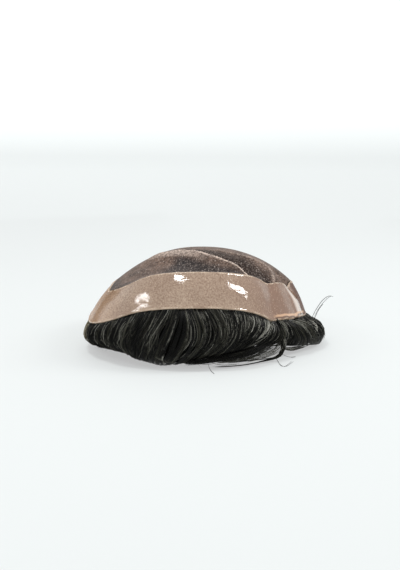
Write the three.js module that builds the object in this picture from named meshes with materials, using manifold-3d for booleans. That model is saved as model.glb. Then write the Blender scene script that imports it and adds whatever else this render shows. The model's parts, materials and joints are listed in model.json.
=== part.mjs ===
import * as THREE from 'three';
import { mergeVertices } from 'three/addons/utils/BufferGeometryUtils.js';
import Module from 'manifold-3d';

const wasm = await Module();
wasm.setup();

// A man's hairpiece turned inside out and stood on its own hair. A fine mesh crown and a
// polyurethane band round it make the base, and the hair that is knotted to the base lies along
// its hollow side and falls below the rim to the table.
// Millimetres, +X to the right, -Y to the front hairline, +Z up. Angles are degrees round from
// the front, positive to the right. Shares in the tables are of the size that each comment names.

// Driving dimensions of the base
const BASE_WIDTH = 153; // rim to rim, from side to side
const FRONT_LENGTH = 90; // from under the crown's top to the front rim
const BACK_LENGTH = 100; // from under the crown's top to the back rim
const OVAL_POWER = 2.3; // 2 is an ellipse, more is squarer
const CROWN_TOP = 65.5; // table to the top of the crown
const RIM_HEIGHT = 39.5; // table to the front rim
const CROWN_WALL = 1.0;
const FOLD_HEIGHT = 4.8; // crest of the fold over the plain dome
const FOLD_DEPTH = 6.2; // valley behind the crest
const FOLD_WIDTH = 8.5; // crest to valley
const FRONT_DENT = 6.4; // hollow between the fold and the band

// Driving dimensions of the polyurethane band
const BAND_WIDTH = 25.4; // between its two edges, on the slope
const BAND_WALL = 1.1;
const BAND_BOW = 1.3; // swell midway between the edges
const EDGE_BEAD = 0.35; // how proud the two edge beads stand
const EDGE_BEAD_WIDTH = 1.4;
const HEM_ROLL = 0.9; // extra height of the rolled hem past the corner
const HEM_ROLL_WIDTH = 1.6;
const CREASE_TWIST = 7; // how far the band's upper edge runs ahead of its rim at the corner, in degrees
const JOINT_GAP = 0.3; // between the crown and the band, edge to edge

// Driving dimensions of the hair
const LINING_DEPTH = 4.0; // hair that lies along the inside of the base
const LINING_GAP = 0.42; // between the base and that hair
const RIM_GAP = 1.25; // between the rim and the hair that falls out under it
const CURTAIN_DEPTH = 8.0; // hair below the rim, measured inwards
const FOOT_WIDTH = 16.4; // hair turned in under the curtain, flat on the table
const BULGE_DEPTH = 10.0; // furthest that the curtain swells past the rim
const TUCK_DEPTH = 10.0; // furthest that the foot is drawn in from the rim
const LIFT_HEIGHT = 10.0; // highest that a stretch of curtain clears the table
const LOCK_COUNT = 38;
const LOCK_WIDTH = 15.6;
const LOCK_DEPTH = 6.0;
const LOCK_RELIEF = 2.2; // how proud a lock stands of the curtain
const LOCK_VARIETY = 0.2; // how much locks differ in width, relief and spacing, as a share
const LOCK_START = 3.6; // how far under the rim a lock rises out of the curtain
const SWEEP = 30; // furthest that a lock is combed sideways, in degrees

// The rim: reach is a share of the plan oval, height of RIM_HEIGHT, slope is the band's lean
const RIM = [
  { angle: 0, reach: 1.0, height: 1.0, slope: 55 },
  { angle: 20, reach: 0.985, height: 0.985, slope: 55 },
  { angle: 38, reach: 0.945, height: 0.86, slope: 57 },
  { angle: 54, reach: 0.94, height: 0.7, slope: 61 },
  { angle: 68, reach: 0.965, height: 0.63, slope: 65 },
  { angle: 90, reach: 1.0, height: 0.53, slope: 66 },
  { angle: 128, reach: 0.985, height: 0.46, slope: 62 },
  { angle: 180, reach: 1.0, height: 0.6, slope: 57 },
  { angle: 232, reach: 0.975, height: 0.49, slope: 57 },
  { angle: 270, reach: 0.955, height: 0.53, slope: 54 },
  { angle: 300, reach: 0.962, height: 0.505, slope: 54 },
  { angle: 325, reach: 0.985, height: 0.67, slope: 54 },
  { angle: 343, reach: 0.99, height: 0.915, slope: 55 },
];

// Creases of the band: the drop of both edges is a share of BAND_WIDTH, fading over the spread
const CREASES = [
  { angle: 48, spread: 6, drop: 0.14 },
  { angle: 66, spread: 5, drop: 0.05 },
];
const TWIST = { angle: 48, spread: 24 }; // where the band's columns lean, and how far that fades
const HEM = { angle: 64, spread: 14 }; // where the rolled hem is fullest, and how far it runs

// The crown's dome: power 2 is a parabola, and a higher one is flatter on top
const DOME = [
  { angle: 0, power: 2.3 },
  { angle: 50, power: 2.7 },
  { angle: 90, power: 2.9 },
  { angle: 180, power: 2.3 },
  { angle: 270, power: 2.05 },
  { angle: 315, power: 2.2 },
];

// The crest of the fold over the crown: across is a share of half BASE_WIDTH, forward of
// FRONT_LENGTH, and strength of the fold's height and depth
const CREST = [
  { across: -0.52, forward: 0.08, strength: 0.0 },
  { across: -0.34, forward: 0.18, strength: 0.6 },
  { across: -0.06, forward: 0.3, strength: 0.95 },
  { across: 0.2, forward: 0.43, strength: 1.0 },
  { across: 0.41, forward: 0.57, strength: 1.0 },
  { across: 0.58, forward: 0.66, strength: 0.7 },
];

// Round dents and swells of the crown: radius is a share of half BASE_WIDTH, depth of FRONT_DENT
const DENTS = [
  { across: -0.16, forward: 0.58, radius: 0.32, depth: 0.9 },
  { across: 0.18, forward: 0.7, radius: 0.24, depth: 0.8 },
  { across: 0.56, forward: 0.28, radius: 0.18, depth: -0.5 },
  { across: 0.72, forward: 0.38, radius: 0.14, depth: -0.35 },
];

// The hair below the rim: bulge is a share of BULGE_DEPTH, tuck of TUCK_DEPTH, lift of LIFT_HEIGHT
// and sweep of SWEEP
const HAIR = [
  { angle: 0, bulge: 0.3, tuck: 0.8, lift: 0.27, sweep: -0.7 },
  { angle: 12, bulge: 0.3, tuck: 0.9, lift: 0.7, sweep: -0.9 },
  { angle: 28, bulge: 0.2, tuck: 1.0, lift: 0.95, sweep: -1.0 },
  { angle: 45, bulge: 0.15, tuck: 0.9, lift: 0.9, sweep: -0.6 },
  { angle: 60, bulge: 0.3, tuck: 0.3, lift: 0.7, sweep: 0.25 },
  { angle: 75, bulge: 0.75, tuck: -0.3, lift: 0.4, sweep: 0.7 },
  { angle: 90, bulge: 1.0, tuck: -0.6, lift: 0.05, sweep: 0.85 },
  { angle: 112, bulge: 0.6, tuck: 0.0, lift: 0.0, sweep: 0.9 },
  { angle: 150, bulge: 0.45, tuck: 0.4, lift: 0.0, sweep: 0.8 },
  { angle: 180, bulge: 0.55, tuck: 0.4, lift: 0.0, sweep: 0.5 },
  { angle: 210, bulge: 0.4, tuck: 0.5, lift: 0.0, sweep: -0.5 },
  { angle: 240, bulge: 0.2, tuck: 0.4, lift: 0.0, sweep: -0.8 },
  { angle: 270, bulge: -0.1, tuck: 0.3, lift: 0.0, sweep: -0.3 },
  { angle: 285, bulge: -0.1, tuck: 0.3, lift: 0.0, sweep: 0.1 },
  { angle: 300, bulge: 0.05, tuck: 0.5, lift: 0.4, sweep: 0.2 },
  { angle: 315, bulge: 0.1, tuck: 0.6, lift: 0.65, sweep: 0.2 },
  { angle: 330, bulge: 0.2, tuck: 0.6, lift: 0.45, sweep: 0.05 },
  { angle: 345, bulge: 0.3, tuck: 0.6, lift: 0.0, sweep: -0.3 },
];

// The curtain from under the rim to the foot: down is a share of its height, bulge and tuck are
// shares of those that HAIR gives
const CURTAIN_LINE = [
  { down: 0.24, bulge: 0.65, tuck: 0.0 },
  { down: 0.52, bulge: 1.0, tuck: 0.0 },
  { down: 0.8, bulge: 0.75, tuck: 0.35 },
  { down: 1.0, bulge: 0.2, tuck: 1.0 },
];

// A lock from its root to its tip: along is a share of its length, width of LOCK_WIDTH, depth of
// LOCK_DEPTH and proud of LOCK_RELIEF
const LOCK_FORM = [
  { along: 0.0, width: 0.9, depth: 0.48, proud: 0.0 },
  { along: 0.2, width: 0.96, depth: 0.8, proud: 0.6 },
  { along: 0.42, width: 0.98, depth: 0.98, proud: 0.97 },
  { along: 0.63, width: 0.9, depth: 0.95, proud: 0.92 },
  { along: 0.83, width: 0.72, depth: 0.72, proud: 0.5 },
  { along: 1.0, width: 0.44, depth: 0.4, proud: 0.0 },
];

// The slim lock that loops off the corner and lies in front: out is how far past the rim, as a
// share of BULGE_DEPTH, up a share of RIM_HEIGHT, and girth of LOCK_WIDTH
const LOOSE_LOCK = [
  { angle: 50, out: -0.1, up: 0.42, girth: 0.22 },
  { angle: 51, out: 0.35, up: 0.26, girth: 0.3 },
  { angle: 47, out: 0.3, up: 0.1, girth: 0.28 },
  { angle: 40, out: 0.0, up: 0.045, girth: 0.25 },
  { angle: 28, out: -0.25, up: 0.035, girth: 0.22 },
  { angle: 14, out: -0.4, up: 0.04, girth: 0.22 },
  { angle: 2, out: -0.5, up: 0.06, girth: 0.2 },
];

const LOOSE_FLATNESS = 0.7; // depth of the loose lock over its width

// How finely the surfaces are cut
const COLUMNS = 60;
const CROWN_RINGS = 14;
const RING_CROWDING = 0.85; // under 1, the rings crowd together towards the band
const CREST_POINTS = 40;
const SEAM_FADE = 8; // the higher, the nearer to the band the folds run
const BAND_STATIONS = [0.38, 0.68]; // rows of the band's bowed face, as shares of its width
const CURTAIN_STATIONS = [0, 0.3, 0.6, 0.85, 1]; // rows of the curtain, as shares of its height
const LINING_RINGS = [0.85, 0.6, 0.3]; // rows of the hollow's roof, as shares of the way out
const LINING_EDGE = 0.7; // where the roof meets the hollow's wall, as a share of the band
const LOCK_SIDES = 6;
const HAIR_TOLERANCE = 0.15; // finer detail of the joined locks is smoothed away

const radians = THREE.MathUtils.degToRad;

// Reads a column of a table that runs once round, eased between its rows
function around(table, column, angle) {
  const turn = THREE.MathUtils.euclideanModulo(angle, 360);
  const count = table.length;
  const next = table.findIndex((row) => row.angle > turn);
  const start = (next < 0 ? count : next) - 1;
  const row = (step) => table[THREE.MathUtils.euclideanModulo(start + step, count)];
  const place = (step) => row(step).angle + 360 * Math.floor((start + step) / count);
  const steepness = (step) =>
    (row(step + 1)[column] - row(step - 1)[column]) / (place(step + 1) - place(step - 1));
  const span = place(1) - place(0);
  const u = (turn - place(0)) / span;
  const ease = u * u * (3 - 2 * u);
  return (
    row(0)[column] * (1 - ease) +
    row(1)[column] * ease +
    span * steepness(0) * u * (1 - u) ** 2 -
    span * steepness(1) * u * u * (1 - u)
  );
}

// How far two angles lie apart, in degrees
function apart(a, b) {
  return Math.abs(THREE.MathUtils.euclideanModulo(a - b + 180, 360) - 180);
}

// A point from its angle, its distance from the axis and its height
function polar(angle, radius, height) {
  return new THREE.Vector3(radius * Math.sin(radians(angle)), -radius * Math.cos(radians(angle)), height);
}

function rimRadius(angle) {
  const forward = Math.cos(radians(angle));
  const sideways = Math.sin(radians(angle));
  const reach = forward > 0 ? FRONT_LENGTH : BACK_LENGTH;
  const oval =
    (Math.abs(forward) / reach) ** OVAL_POWER + (Math.abs(sideways) / (BASE_WIDTH / 2)) ** OVAL_POWER;
  return around(RIM, 'reach', angle) / oval ** (1 / OVAL_POWER);
}

function rimHeight(angle) {
  let height = around(RIM, 'height', angle) * RIM_HEIGHT;
  for (const crease of CREASES) {
    height -= crease.drop * BAND_WIDTH * Math.exp(-apart(angle, crease.angle) / crease.spread);
  }
  return height;
}

// Where a column of the band lies. Near the corner its upper end runs ahead of its lower end, so
// that the creases stand upright.
function turned(angle, along) {
  return angle + CREASE_TWIST * (along - 0.5) * Math.exp(-((apart(angle, TWIST.angle) / TWIST.spread) ** 2));
}

// A point of the band: along is 0 at the rim and 1 at the upper edge, lift stands off the surface
function bandPoint(angle, along, lift = 0) {
  const slope = radians(around(RIM, 'slope', angle));
  const proud = lift + BAND_BOW * 4 * along * (1 - along);
  const place = turned(angle, along);
  const radius = rimRadius(place) - Math.cos(slope) * along * BAND_WIDTH + Math.sin(slope) * proud;
  const height = rimHeight(angle) + Math.sin(slope) * along * BAND_WIDTH + Math.cos(slope) * proud;
  return polar(place, radius, height);
}

const crestLine = new THREE.CatmullRomCurve3(
  CREST.map(
    (row) => new THREE.Vector3((row.across * BASE_WIDTH) / 2, -row.forward * FRONT_LENGTH, row.strength),
  ),
).getSpacedPoints(CREST_POINTS);

// Height of the fold and the dents over the plain dome, at a place in plan
function foldHeight(x, y) {
  let near = 1;
  const gap = (i) => Math.hypot(x - crestLine[i].x, y - crestLine[i].y);
  for (let i = 1; i < crestLine.length - 1; i++) {
    if (gap(i) < gap(near)) near = i;
  }
  const run = crestLine[near + 1].clone().sub(crestLine[near - 1]);
  const behind = Math.sign(run.x * (y - crestLine[near].y) - run.y * (x - crestLine[near].x));
  const steps = gap(near) / FOLD_WIDTH;
  const crest = FOLD_HEIGHT * Math.exp(-(steps ** 2));
  const valley = behind > 0 ? FOLD_DEPTH * steps ** 2 * Math.exp(1 - steps ** 2) : 0;
  let height = crestLine[near].z * (crest - valley);
  for (const dent of DENTS) {
    const away = Math.hypot(x - (dent.across * BASE_WIDTH) / 2, y + dent.forward * FRONT_LENGTH);
    height -= dent.depth * FRONT_DENT * Math.exp(-((away / ((dent.radius * BASE_WIDTH) / 2)) ** 2));
  }
  return height;
}

// A point of the crown: out is 0 at the top and 1 at the band's upper edge
function crownPoint(angle, out) {
  const edge = bandPoint(angle, 1);
  const dome = CROWN_TOP - (CROWN_TOP - edge.z) * out ** around(DOME, 'power', angle);
  const fade = 1 - out ** SEAM_FADE;
  const height = dome + fade * foldHeight(edge.x * out, edge.y * out);
  return new THREE.Vector3(edge.x * out, edge.y * out, height);
}

// The crown's surface sunk by a depth, which is measured square to the slope
function sunkCrownPoint(angle, out, depth) {
  const point = crownPoint(angle, out);
  const step = 1 / COLUMNS;
  const down = crownPoint(angle, out - step).sub(crownPoint(angle, out));
  const slope = Math.atan2(Math.abs(down.z), Math.hypot(down.x, down.y));
  point.z -= depth / Math.cos(slope);
  return point;
}

// Triangles between neighbouring columns of points. Columns join round, and each column either
// closes on itself or runs from one shared point on the axis to another.
function loftRound(columns, closed) {
  const corners = [];
  const faces = [];
  const first = columns[0].length;
  for (const point of columns.flat()) corners.push(point.x, point.y, point.z);
  for (let c = 0; c < columns.length; c++) {
    const here = c * first;
    const there = ((c + 1) % columns.length) * first;
    for (let p = 0; p < (closed ? first : first - 1); p++) {
      const q = (p + 1) % first;
      // The quad's diagonal leaves from the inner corner, so that stacked sheets crease alike
      if (columns[c][p].length() < columns[c][q].length()) {
        faces.push(here + p, there + q, there + p, here + p, here + q, there + q);
      } else {
        faces.push(here + p, here + q, there + p, here + q, there + q, there + p);
      }
    }
  }
  const geometry = new THREE.BufferGeometry();
  geometry.setAttribute('position', new THREE.Float32BufferAttribute(corners, 3));
  geometry.setIndex(faces);
  return geometry;
}

// A library solid from a closed mesh, and back
function solidOf(geometry) {
  const merged = mergeVertices(geometry, 1e-4);
  const index = [];
  for (let i = 0; i < merged.index.count; i += 3) {
    const [a, b, c] = [0, 1, 2].map((k) => merged.index.getX(i + k));
    if (a !== b && b !== c && c !== a) index.push(a, b, c);
  }
  return new wasm.Manifold(
    new wasm.Mesh({
      numProp: 3,
      vertProperties: merged.attributes.position.array,
      triVerts: new Uint32Array(index),
    }),
  );
}

function geometryOf(solid) {
  const mesh = solid.getMesh();
  const geometry = new THREE.BufferGeometry();
  geometry.setAttribute('position', new THREE.BufferAttribute(mesh.vertProperties, mesh.numProp));
  geometry.setIndex(new THREE.BufferAttribute(mesh.triVerts, 1));
  geometry.computeVertexNormals();
  return geometry;
}

const angles = Array.from({ length: COLUMNS }, (_, i) => (i * 360) / COLUMNS);
const crownRings = Array.from({ length: CROWN_RINGS }, (_, i) => (i / CROWN_RINGS) ** RING_CROWDING);

// The mesh crown: a thin dome with a fold and dents, whose edge meets the band's upper edge
function crownSolid() {
  const seam = 1 + JOINT_GAP / BAND_WIDTH;
  const columns = angles.map((angle) => {
    const outer = crownRings.map((out) => crownPoint(angle, out));
    const inner = crownRings.slice(1).map((out) => sunkCrownPoint(angle, out, CROWN_WALL));
    const underside = crownPoint(angle, 0);
    underside.z -= CROWN_WALL;
    const edge = [bandPoint(angle, seam), bandPoint(angle, seam, -CROWN_WALL)];
    return [...outer, ...edge, ...inner.reverse(), underside];
  });
  return solidOf(loftRound(columns, false));
}

// The polyurethane band: a closed strip with a bead along each edge, whose lower bead swells to
// the rolled hem past the corner
function bandSolid() {
  const columns = angles.map((angle) => {
    const hem = Math.exp(-((apart(angle, HEM.angle) / HEM.spread) ** 2));
    const lowWidth = (EDGE_BEAD_WIDTH + HEM_ROLL_WIDTH * hem) / BAND_WIDTH;
    const lowBead = EDGE_BEAD + HEM_ROLL * hem;
    const topWidth = EDGE_BEAD_WIDTH / BAND_WIDTH;
    return [
      bandPoint(angle, 0, lowBead / 2),
      bandPoint(angle, lowWidth / 2, lowBead),
      bandPoint(angle, lowWidth),
      ...BAND_STATIONS.map((along) => bandPoint(angle, along)),
      bandPoint(angle, 1 - topWidth),
      bandPoint(angle, 1 - topWidth / 2, EDGE_BEAD),
      bandPoint(angle, 1, EDGE_BEAD / 2),
      bandPoint(angle, 1, -BAND_WALL),
      bandPoint(angle, 0.5, -BAND_WALL),
      bandPoint(angle, 0, -BAND_WALL),
    ].reverse();
  });
  return solidOf(loftRound(columns, true));
}

// The curtain's outer line at an angle, from just under the rim down to the turned-in foot
function curtainLine(angle) {
  const radius = rimRadius(turned(angle, 0));
  const top = rimHeight(angle);
  const slope = radians(around(RIM, 'slope', angle));
  const bulge = around(HAIR, 'bulge', angle) * BULGE_DEPTH;
  const tuck = around(HAIR, 'tuck', angle) * TUCK_DEPTH;
  const lift = Math.max(0, around(HAIR, 'lift', angle) * LIFT_HEIGHT);
  return new THREE.SplineCurve([
    new THREE.Vector2(radius + Math.cos(slope) * RIM_GAP, top - Math.sin(slope) * RIM_GAP),
    ...CURTAIN_LINE.map(
      (row) => new THREE.Vector2(radius + row.bulge * bulge - row.tuck * tuck, top - row.down * (top - lift)),
    ),
  ]);
}

// A point of the curtain's outer face, stood off it by relief
function curtainPoint(angle, down, relief = 0) {
  const line = curtainLine(angle);
  const place = line.getPoint(THREE.MathUtils.clamp(down, 0, 1));
  const along = line.getTangent(THREE.MathUtils.clamp(down, 1 / COLUMNS, 1 - 1 / COLUMNS));
  return polar(turned(angle, 0), place.x - along.y * relief, place.y + along.x * relief);
}

// The backing of the hair: a hollow dome under the base, the curtain and its turned-in foot
function backingColumn(angle) {
  const underCrown = CROWN_WALL + LINING_GAP;
  const underBand = BAND_WALL + LINING_GAP;
  const foot = curtainPoint(angle, 1);
  const rim = bandPoint(angle, 0, -underBand);
  const inward = (point, distance, height) => {
    const radius = Math.hypot(point.x, point.y);
    return new THREE.Vector3(point.x, point.y, 0).multiplyScalar(1 - distance / radius).setZ(height);
  };
  const top = crownPoint(angle, 0).z;
  const outer = [
    new THREE.Vector3(0, 0, top - underCrown),
    ...crownRings.slice(1).map((out) => sunkCrownPoint(angle, out, underCrown)),
    bandPoint(angle, 1, -underBand),
    bandPoint(angle, 0.5, -underBand),
    bandPoint(angle, -RIM_GAP / BAND_WIDTH / 2, -underBand),
    ...CURTAIN_STATIONS.map((down) => curtainPoint(angle, down)),
  ];
  const inner = [
    inward(foot, FOOT_WIDTH, foot.z),
    inward(rim, CURTAIN_DEPTH, (foot.z + rim.z) / 2),
    inward(rim, CURTAIN_DEPTH, rim.z),
    bandPoint(angle, LINING_EDGE, -underBand - LINING_DEPTH),
    ...LINING_RINGS.map((out) => sunkCrownPoint(angle, out, underCrown + LINING_DEPTH)),
    new THREE.Vector3(0, 0, top - underCrown - LINING_DEPTH),
  ];
  return [...outer, ...inner];
}

// A tapered lock through stations that each give a centre, a width direction and a depth direction
function lockSolid(stations) {
  const corners = [];
  const faces = [];
  for (const station of stations) {
    for (let s = 0; s < LOCK_SIDES; s++) {
      const turn = (s / LOCK_SIDES) * 2 * Math.PI;
      const corner = station.centre
        .clone()
        .addScaledVector(station.across, Math.cos(turn) * station.halfWidth)
        .addScaledVector(station.outward, Math.sin(turn) * station.halfDepth);
      corners.push(corner.x, corner.y, Math.max(corner.z, 0));
    }
  }
  const ring = (i, s) => i * LOCK_SIDES + (s % LOCK_SIDES);
  for (let i = 0; i < stations.length - 1; i++) {
    for (let s = 0; s < LOCK_SIDES; s++) {
      faces.push(ring(i, s), ring(i, s + 1), ring(i + 1, s + 1));
      faces.push(ring(i, s), ring(i + 1, s + 1), ring(i + 1, s));
    }
  }
  const last = stations.length - 1;
  for (let s = 1; s < LOCK_SIDES - 1; s++) {
    faces.push(ring(0, 0), ring(0, s + 1), ring(0, s), ring(last, 0), ring(last, s), ring(last, s + 1));
  }
  const geometry = new THREE.BufferGeometry();
  geometry.setAttribute('position', new THREE.Float32BufferAttribute(corners, 3));
  geometry.setIndex(faces);
  const solid = solidOf(geometry);
  return solid.volume() < 0 ? solidOf(flipped(geometry)) : solid;
}

function flipped(geometry) {
  const index = Array.from(geometry.index.array);
  for (let i = 0; i < index.length; i += 3) [index[i + 1], index[i + 2]] = [index[i + 2], index[i + 1]];
  return geometry.clone().setIndex(index);
}

// Stations along a path of centres, each square to the path, with its depth away from the axis
function stationsAlong(centres, halfSizes) {
  return centres.map((centre, i) => {
    const before = centres[Math.max(i - 1, 0)];
    const after = centres[Math.min(i + 1, centres.length - 1)];
    const run = after.clone().sub(before).normalize();
    const away = new THREE.Vector3(centre.x, centre.y, 0).normalize();
    const across = run.clone().cross(away).normalize();
    const outward = across.clone().cross(run).normalize();
    return { centre, across, outward, ...halfSizes[i] };
  });
}

// A lock that rises out of the curtain under the rim, is combed sideways and tapers to the table
function curtainLock(index) {
  const uneven = LOCK_VARIETY * (2 * THREE.MathUtils.seededRandom(index + 1) - 1);
  const start = ((index + uneven) * 360) / LOCK_COUNT;
  const sweep = around(HAIR, 'sweep', start) * SWEEP;
  const first = LOCK_START / rimHeight(start);
  const centres = LOCK_FORM.map((row) => {
    const relief = row.proud * LOCK_RELIEF * (1 + uneven) - (row.depth * LOCK_DEPTH) / 2;
    return curtainPoint(start + sweep * row.along ** 2, first + (1 - first) * row.along, relief);
  });
  const halfSizes = LOCK_FORM.map((row) => ({
    halfWidth: (row.width * LOCK_WIDTH * (1 + uneven)) / 2,
    halfDepth: (row.depth * LOCK_DEPTH) / 2,
  }));
  return lockSolid(stationsAlong(centres, halfSizes));
}

// The slim lock that lies loose in front of the curtain
function looseLock() {
  const centres = LOOSE_LOCK.map((row) =>
    polar(row.angle, rimRadius(row.angle) + row.out * BULGE_DEPTH, row.up * RIM_HEIGHT),
  );
  const halfSizes = LOOSE_LOCK.map((row) => ({
    halfWidth: (row.girth * LOCK_WIDTH) / 2,
    halfDepth: (row.girth * LOCK_WIDTH * LOOSE_FLATNESS) / 2,
  }));
  return lockSolid(stationsAlong(centres, halfSizes));
}

// A solid without the sealed pockets that joined locks shut in
function withoutPockets(solid) {
  const shells = solid.decompose().filter((shell) => shell.volume() > 0);
  return shells.reduce((joined, shell) => joined.add(shell));
}

function hairSolid() {
  let hair = solidOf(loftRound(angles.map(backingColumn), false));
  const locks = Array.from({ length: LOCK_COUNT }, (_, i) => curtainLock(i));
  for (const lock of [...locks, looseLock()]) hair = hair.add(lock);
  return withoutPockets(hair).simplify(HAIR_TOLERANCE);
}

function part(name, solid, colour, roughness) {
  const material = new THREE.MeshStandardMaterial({ color: colour, roughness, flatShading: true });
  const mesh = new THREE.Mesh(geometryOf(solid), material);
  mesh.name = name;
  return mesh;
}

const hairpiece = new THREE.Group();
hairpiece.name = 'hairpiece';
hairpiece.add(
  part('mesh_crown', crownSolid(), 0x7a6a62, 0.85),
  part('perimeter_band', bandSolid(), 0xb59a84, 0.2),
  part('hair', hairSolid(), 0x24211e, 0.5),
);

// The origin is under the middle of the whole piece, on the table
const extent = new THREE.Box3().setFromObject(hairpiece);
const middle = extent.getCenter(new THREE.Vector3());
hairpiece.position.set(-middle.x, -middle.y, -extent.min.z);

export default hairpiece;
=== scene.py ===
# %% [markdown]
# # A man's hairpiece, turned inside out on its own hair
# The real thing is a soft cap: a fine mesh crown, a clear skin-coloured band glued and sewn round
# it, and some thousand bare hairs knotted to the side that we can't see. This notebook dresses the
# measured solids in cloth, film, thread and hair. The solids come first, because every new piece
# is fitted to them and never the other way round.

# %% Load the frame
import json
import math

import bpy
import numpy as np
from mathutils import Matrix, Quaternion, Vector
from mathutils.bvhtree import BVHTree
from mathutils.kdtree import KDTree

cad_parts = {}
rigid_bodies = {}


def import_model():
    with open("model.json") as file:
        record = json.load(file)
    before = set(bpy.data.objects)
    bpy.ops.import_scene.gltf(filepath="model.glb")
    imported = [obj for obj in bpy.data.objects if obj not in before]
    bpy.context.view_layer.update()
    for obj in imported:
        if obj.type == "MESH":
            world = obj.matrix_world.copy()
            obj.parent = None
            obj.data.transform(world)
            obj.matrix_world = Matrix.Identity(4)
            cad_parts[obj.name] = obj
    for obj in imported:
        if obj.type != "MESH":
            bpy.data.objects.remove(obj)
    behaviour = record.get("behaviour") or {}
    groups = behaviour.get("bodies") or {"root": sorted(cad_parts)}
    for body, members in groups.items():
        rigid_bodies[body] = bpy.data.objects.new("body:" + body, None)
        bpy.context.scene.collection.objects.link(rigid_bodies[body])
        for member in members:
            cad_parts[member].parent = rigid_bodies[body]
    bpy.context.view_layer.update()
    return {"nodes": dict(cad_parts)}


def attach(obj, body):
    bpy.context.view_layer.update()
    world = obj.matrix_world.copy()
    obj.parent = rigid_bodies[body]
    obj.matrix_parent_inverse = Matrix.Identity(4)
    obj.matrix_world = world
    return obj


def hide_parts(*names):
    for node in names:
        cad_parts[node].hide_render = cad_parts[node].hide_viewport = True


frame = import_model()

MM = 0.001
print("nodes:", {name: len(node.data.polygons) for name, node in frame["nodes"].items()})

# %% [markdown]
# ## The camera
# A photograph fixes a camera by what it shows: how far it stands round to the side, how far it
# looks down, and how fast things shrink with distance. The numbers here put the solids' outline on
# the photograph's to a pixel or two. The object sits a little under the middle of the frame, so
# the camera looks at a point slightly above it, which needs no lens shift.

# %% Place the camera
PHOTO_WIDTH, PHOTO_HEIGHT = 400, 570
VIEW_TURN, VIEW_RISE = 7.0, 9.5
VIEW_DISTANCE = 0.8
FOCAL_PIXELS = 1144
SENSOR = 36.0
LOOKED_AT = Vector((-3.94, -7.05, 33.0)) * MM
SEEN_AT = (199.5, 295.5)


def direction(turn, rise):
    """The way from the object to something that stands turn degrees round and rise degrees up."""
    turn, rise = math.radians(turn), math.radians(rise)
    return Vector((math.sin(turn) * math.cos(rise), -math.cos(turn) * math.cos(rise), math.sin(rise)))


to_camera = direction(VIEW_TURN, VIEW_RISE)
right = direction(VIEW_TURN + 90, 0)
up = right.cross(-to_camera)
pixel = VIEW_DISTANCE / FOCAL_PIXELS
aim_right = (PHOTO_WIDTH / 2 - SEEN_AT[0]) * pixel
aim_up = (SEEN_AT[1] - PHOTO_HEIGHT / 2) * pixel
aim = LOOKED_AT + right * aim_right + up * aim_up
place = LOOKED_AT + to_camera * VIEW_DISTANCE
turned = (aim - place).to_track_quat("-Z", "Y").to_euler()
bpy.ops.object.camera_add(location=place, rotation=turned)
camera = bpy.context.object
camera.data.sensor_width = SENSOR
camera.data.lens = FOCAL_PIXELS / PHOTO_HEIGHT * SENSOR
camera.data.clip_start = 0.01
bpy.context.scene.camera = camera
print("camera at", [round(v, 3) for v in place], "lens", round(camera.data.lens, 2))

# %% [markdown]
# ## The studio
# The photograph has a pale sheet under and behind the piece and soft light from above. Most of it
# comes from all round, so the world lights the scene. Glossy film only sparkles where it mirrors
# something small and bright, so three oblong lamps hang where the band's bright spots say that
# they hung. Two dark cards out of the picture, which photographers call flags, keep the band's
# two ends from mirroring the pale wall.

# %% Light the piece
FLOOR_SIZE = 6.0
SWEEP_RADIUS = 0.9
LAMPS = {
    "lamp_high": {"turn": -35, "rise": 69, "wide": 0.17, "high": 0.12, "roll": 25, "power": 4.0},
    "lamp_left": {"turn": -71, "rise": 37, "wide": 0.4, "high": 0.02, "roll": 10, "power": 1.2},
    "lamp_right": {"turn": 94, "rise": 40, "wide": 0.5, "high": 0.07, "roll": -50, "power": 4.4},
}
LAMP_DISTANCE = 1.1
SKY_COLOUR = (0.97, 0.985, 1.0, 1)
SKY_STRENGTH = 0.8


def deselect():
    """Leaves edit mode and deselects everything, the measured solids too."""
    if bpy.context.object and bpy.context.object.mode != "OBJECT":
        bpy.ops.object.mode_set(mode="OBJECT")
    bpy.ops.object.select_all(action="DESELECT")


def select_edges(obj, wanted):
    """In edit mode, selects the edges with both ends in places that are wanted."""
    bpy.ops.mesh.select_mode(type="EDGE")
    bpy.ops.mesh.select_all(action="DESELECT")
    bpy.ops.object.mode_set(mode="OBJECT")
    for edge in obj.data.edges:
        edge.select = all(wanted(obj.data.vertices[v].co) for v in edge.vertices)
    bpy.ops.object.mode_set(mode="EDIT")


deselect()
bpy.ops.mesh.primitive_plane_add(size=FLOOR_SIZE, location=(0, 0, 0))
floor = bpy.context.object
floor.name = "floor_sheet"
bpy.ops.object.mode_set(mode="EDIT")
select_edges(floor, lambda spot: spot.y > 0)
bpy.ops.mesh.extrude_region_move(TRANSFORM_OT_translate={"value": (0, 0, FLOOR_SIZE / 2)})
select_edges(floor, lambda spot: spot.y > 0 and spot.z < MM)
bpy.ops.mesh.bevel(offset=SWEEP_RADIUS, segments=16, profile=0.5)
bpy.ops.object.mode_set(mode="OBJECT")
bpy.ops.object.shade_smooth()

for name, lamp in LAMPS.items():
    place = LOOKED_AT + direction(lamp["turn"], lamp["rise"]) * LAMP_DISTANCE
    facing = (LOOKED_AT - place).to_track_quat("-Z", "Y") @ Quaternion((0, 0, 1), math.radians(lamp["roll"]))
    bpy.ops.object.light_add(type="AREA", location=place, rotation=facing.to_euler())
    light = bpy.context.object
    light.name = name
    light.data.shape = "RECTANGLE"
    light.data.size = lamp["wide"]
    light.data.size_y = lamp["high"]
    light.data.energy = lamp["power"]

world = bpy.context.scene.world or bpy.data.worlds.new("studio")
bpy.context.scene.world = world
world.use_nodes = True
world.node_tree.nodes["Background"].inputs["Color"].default_value = SKY_COLOUR
world.node_tree.nodes["Background"].inputs["Strength"].default_value = SKY_STRENGTH
bpy.context.scene.view_settings.view_transform = "Standard"

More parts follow.
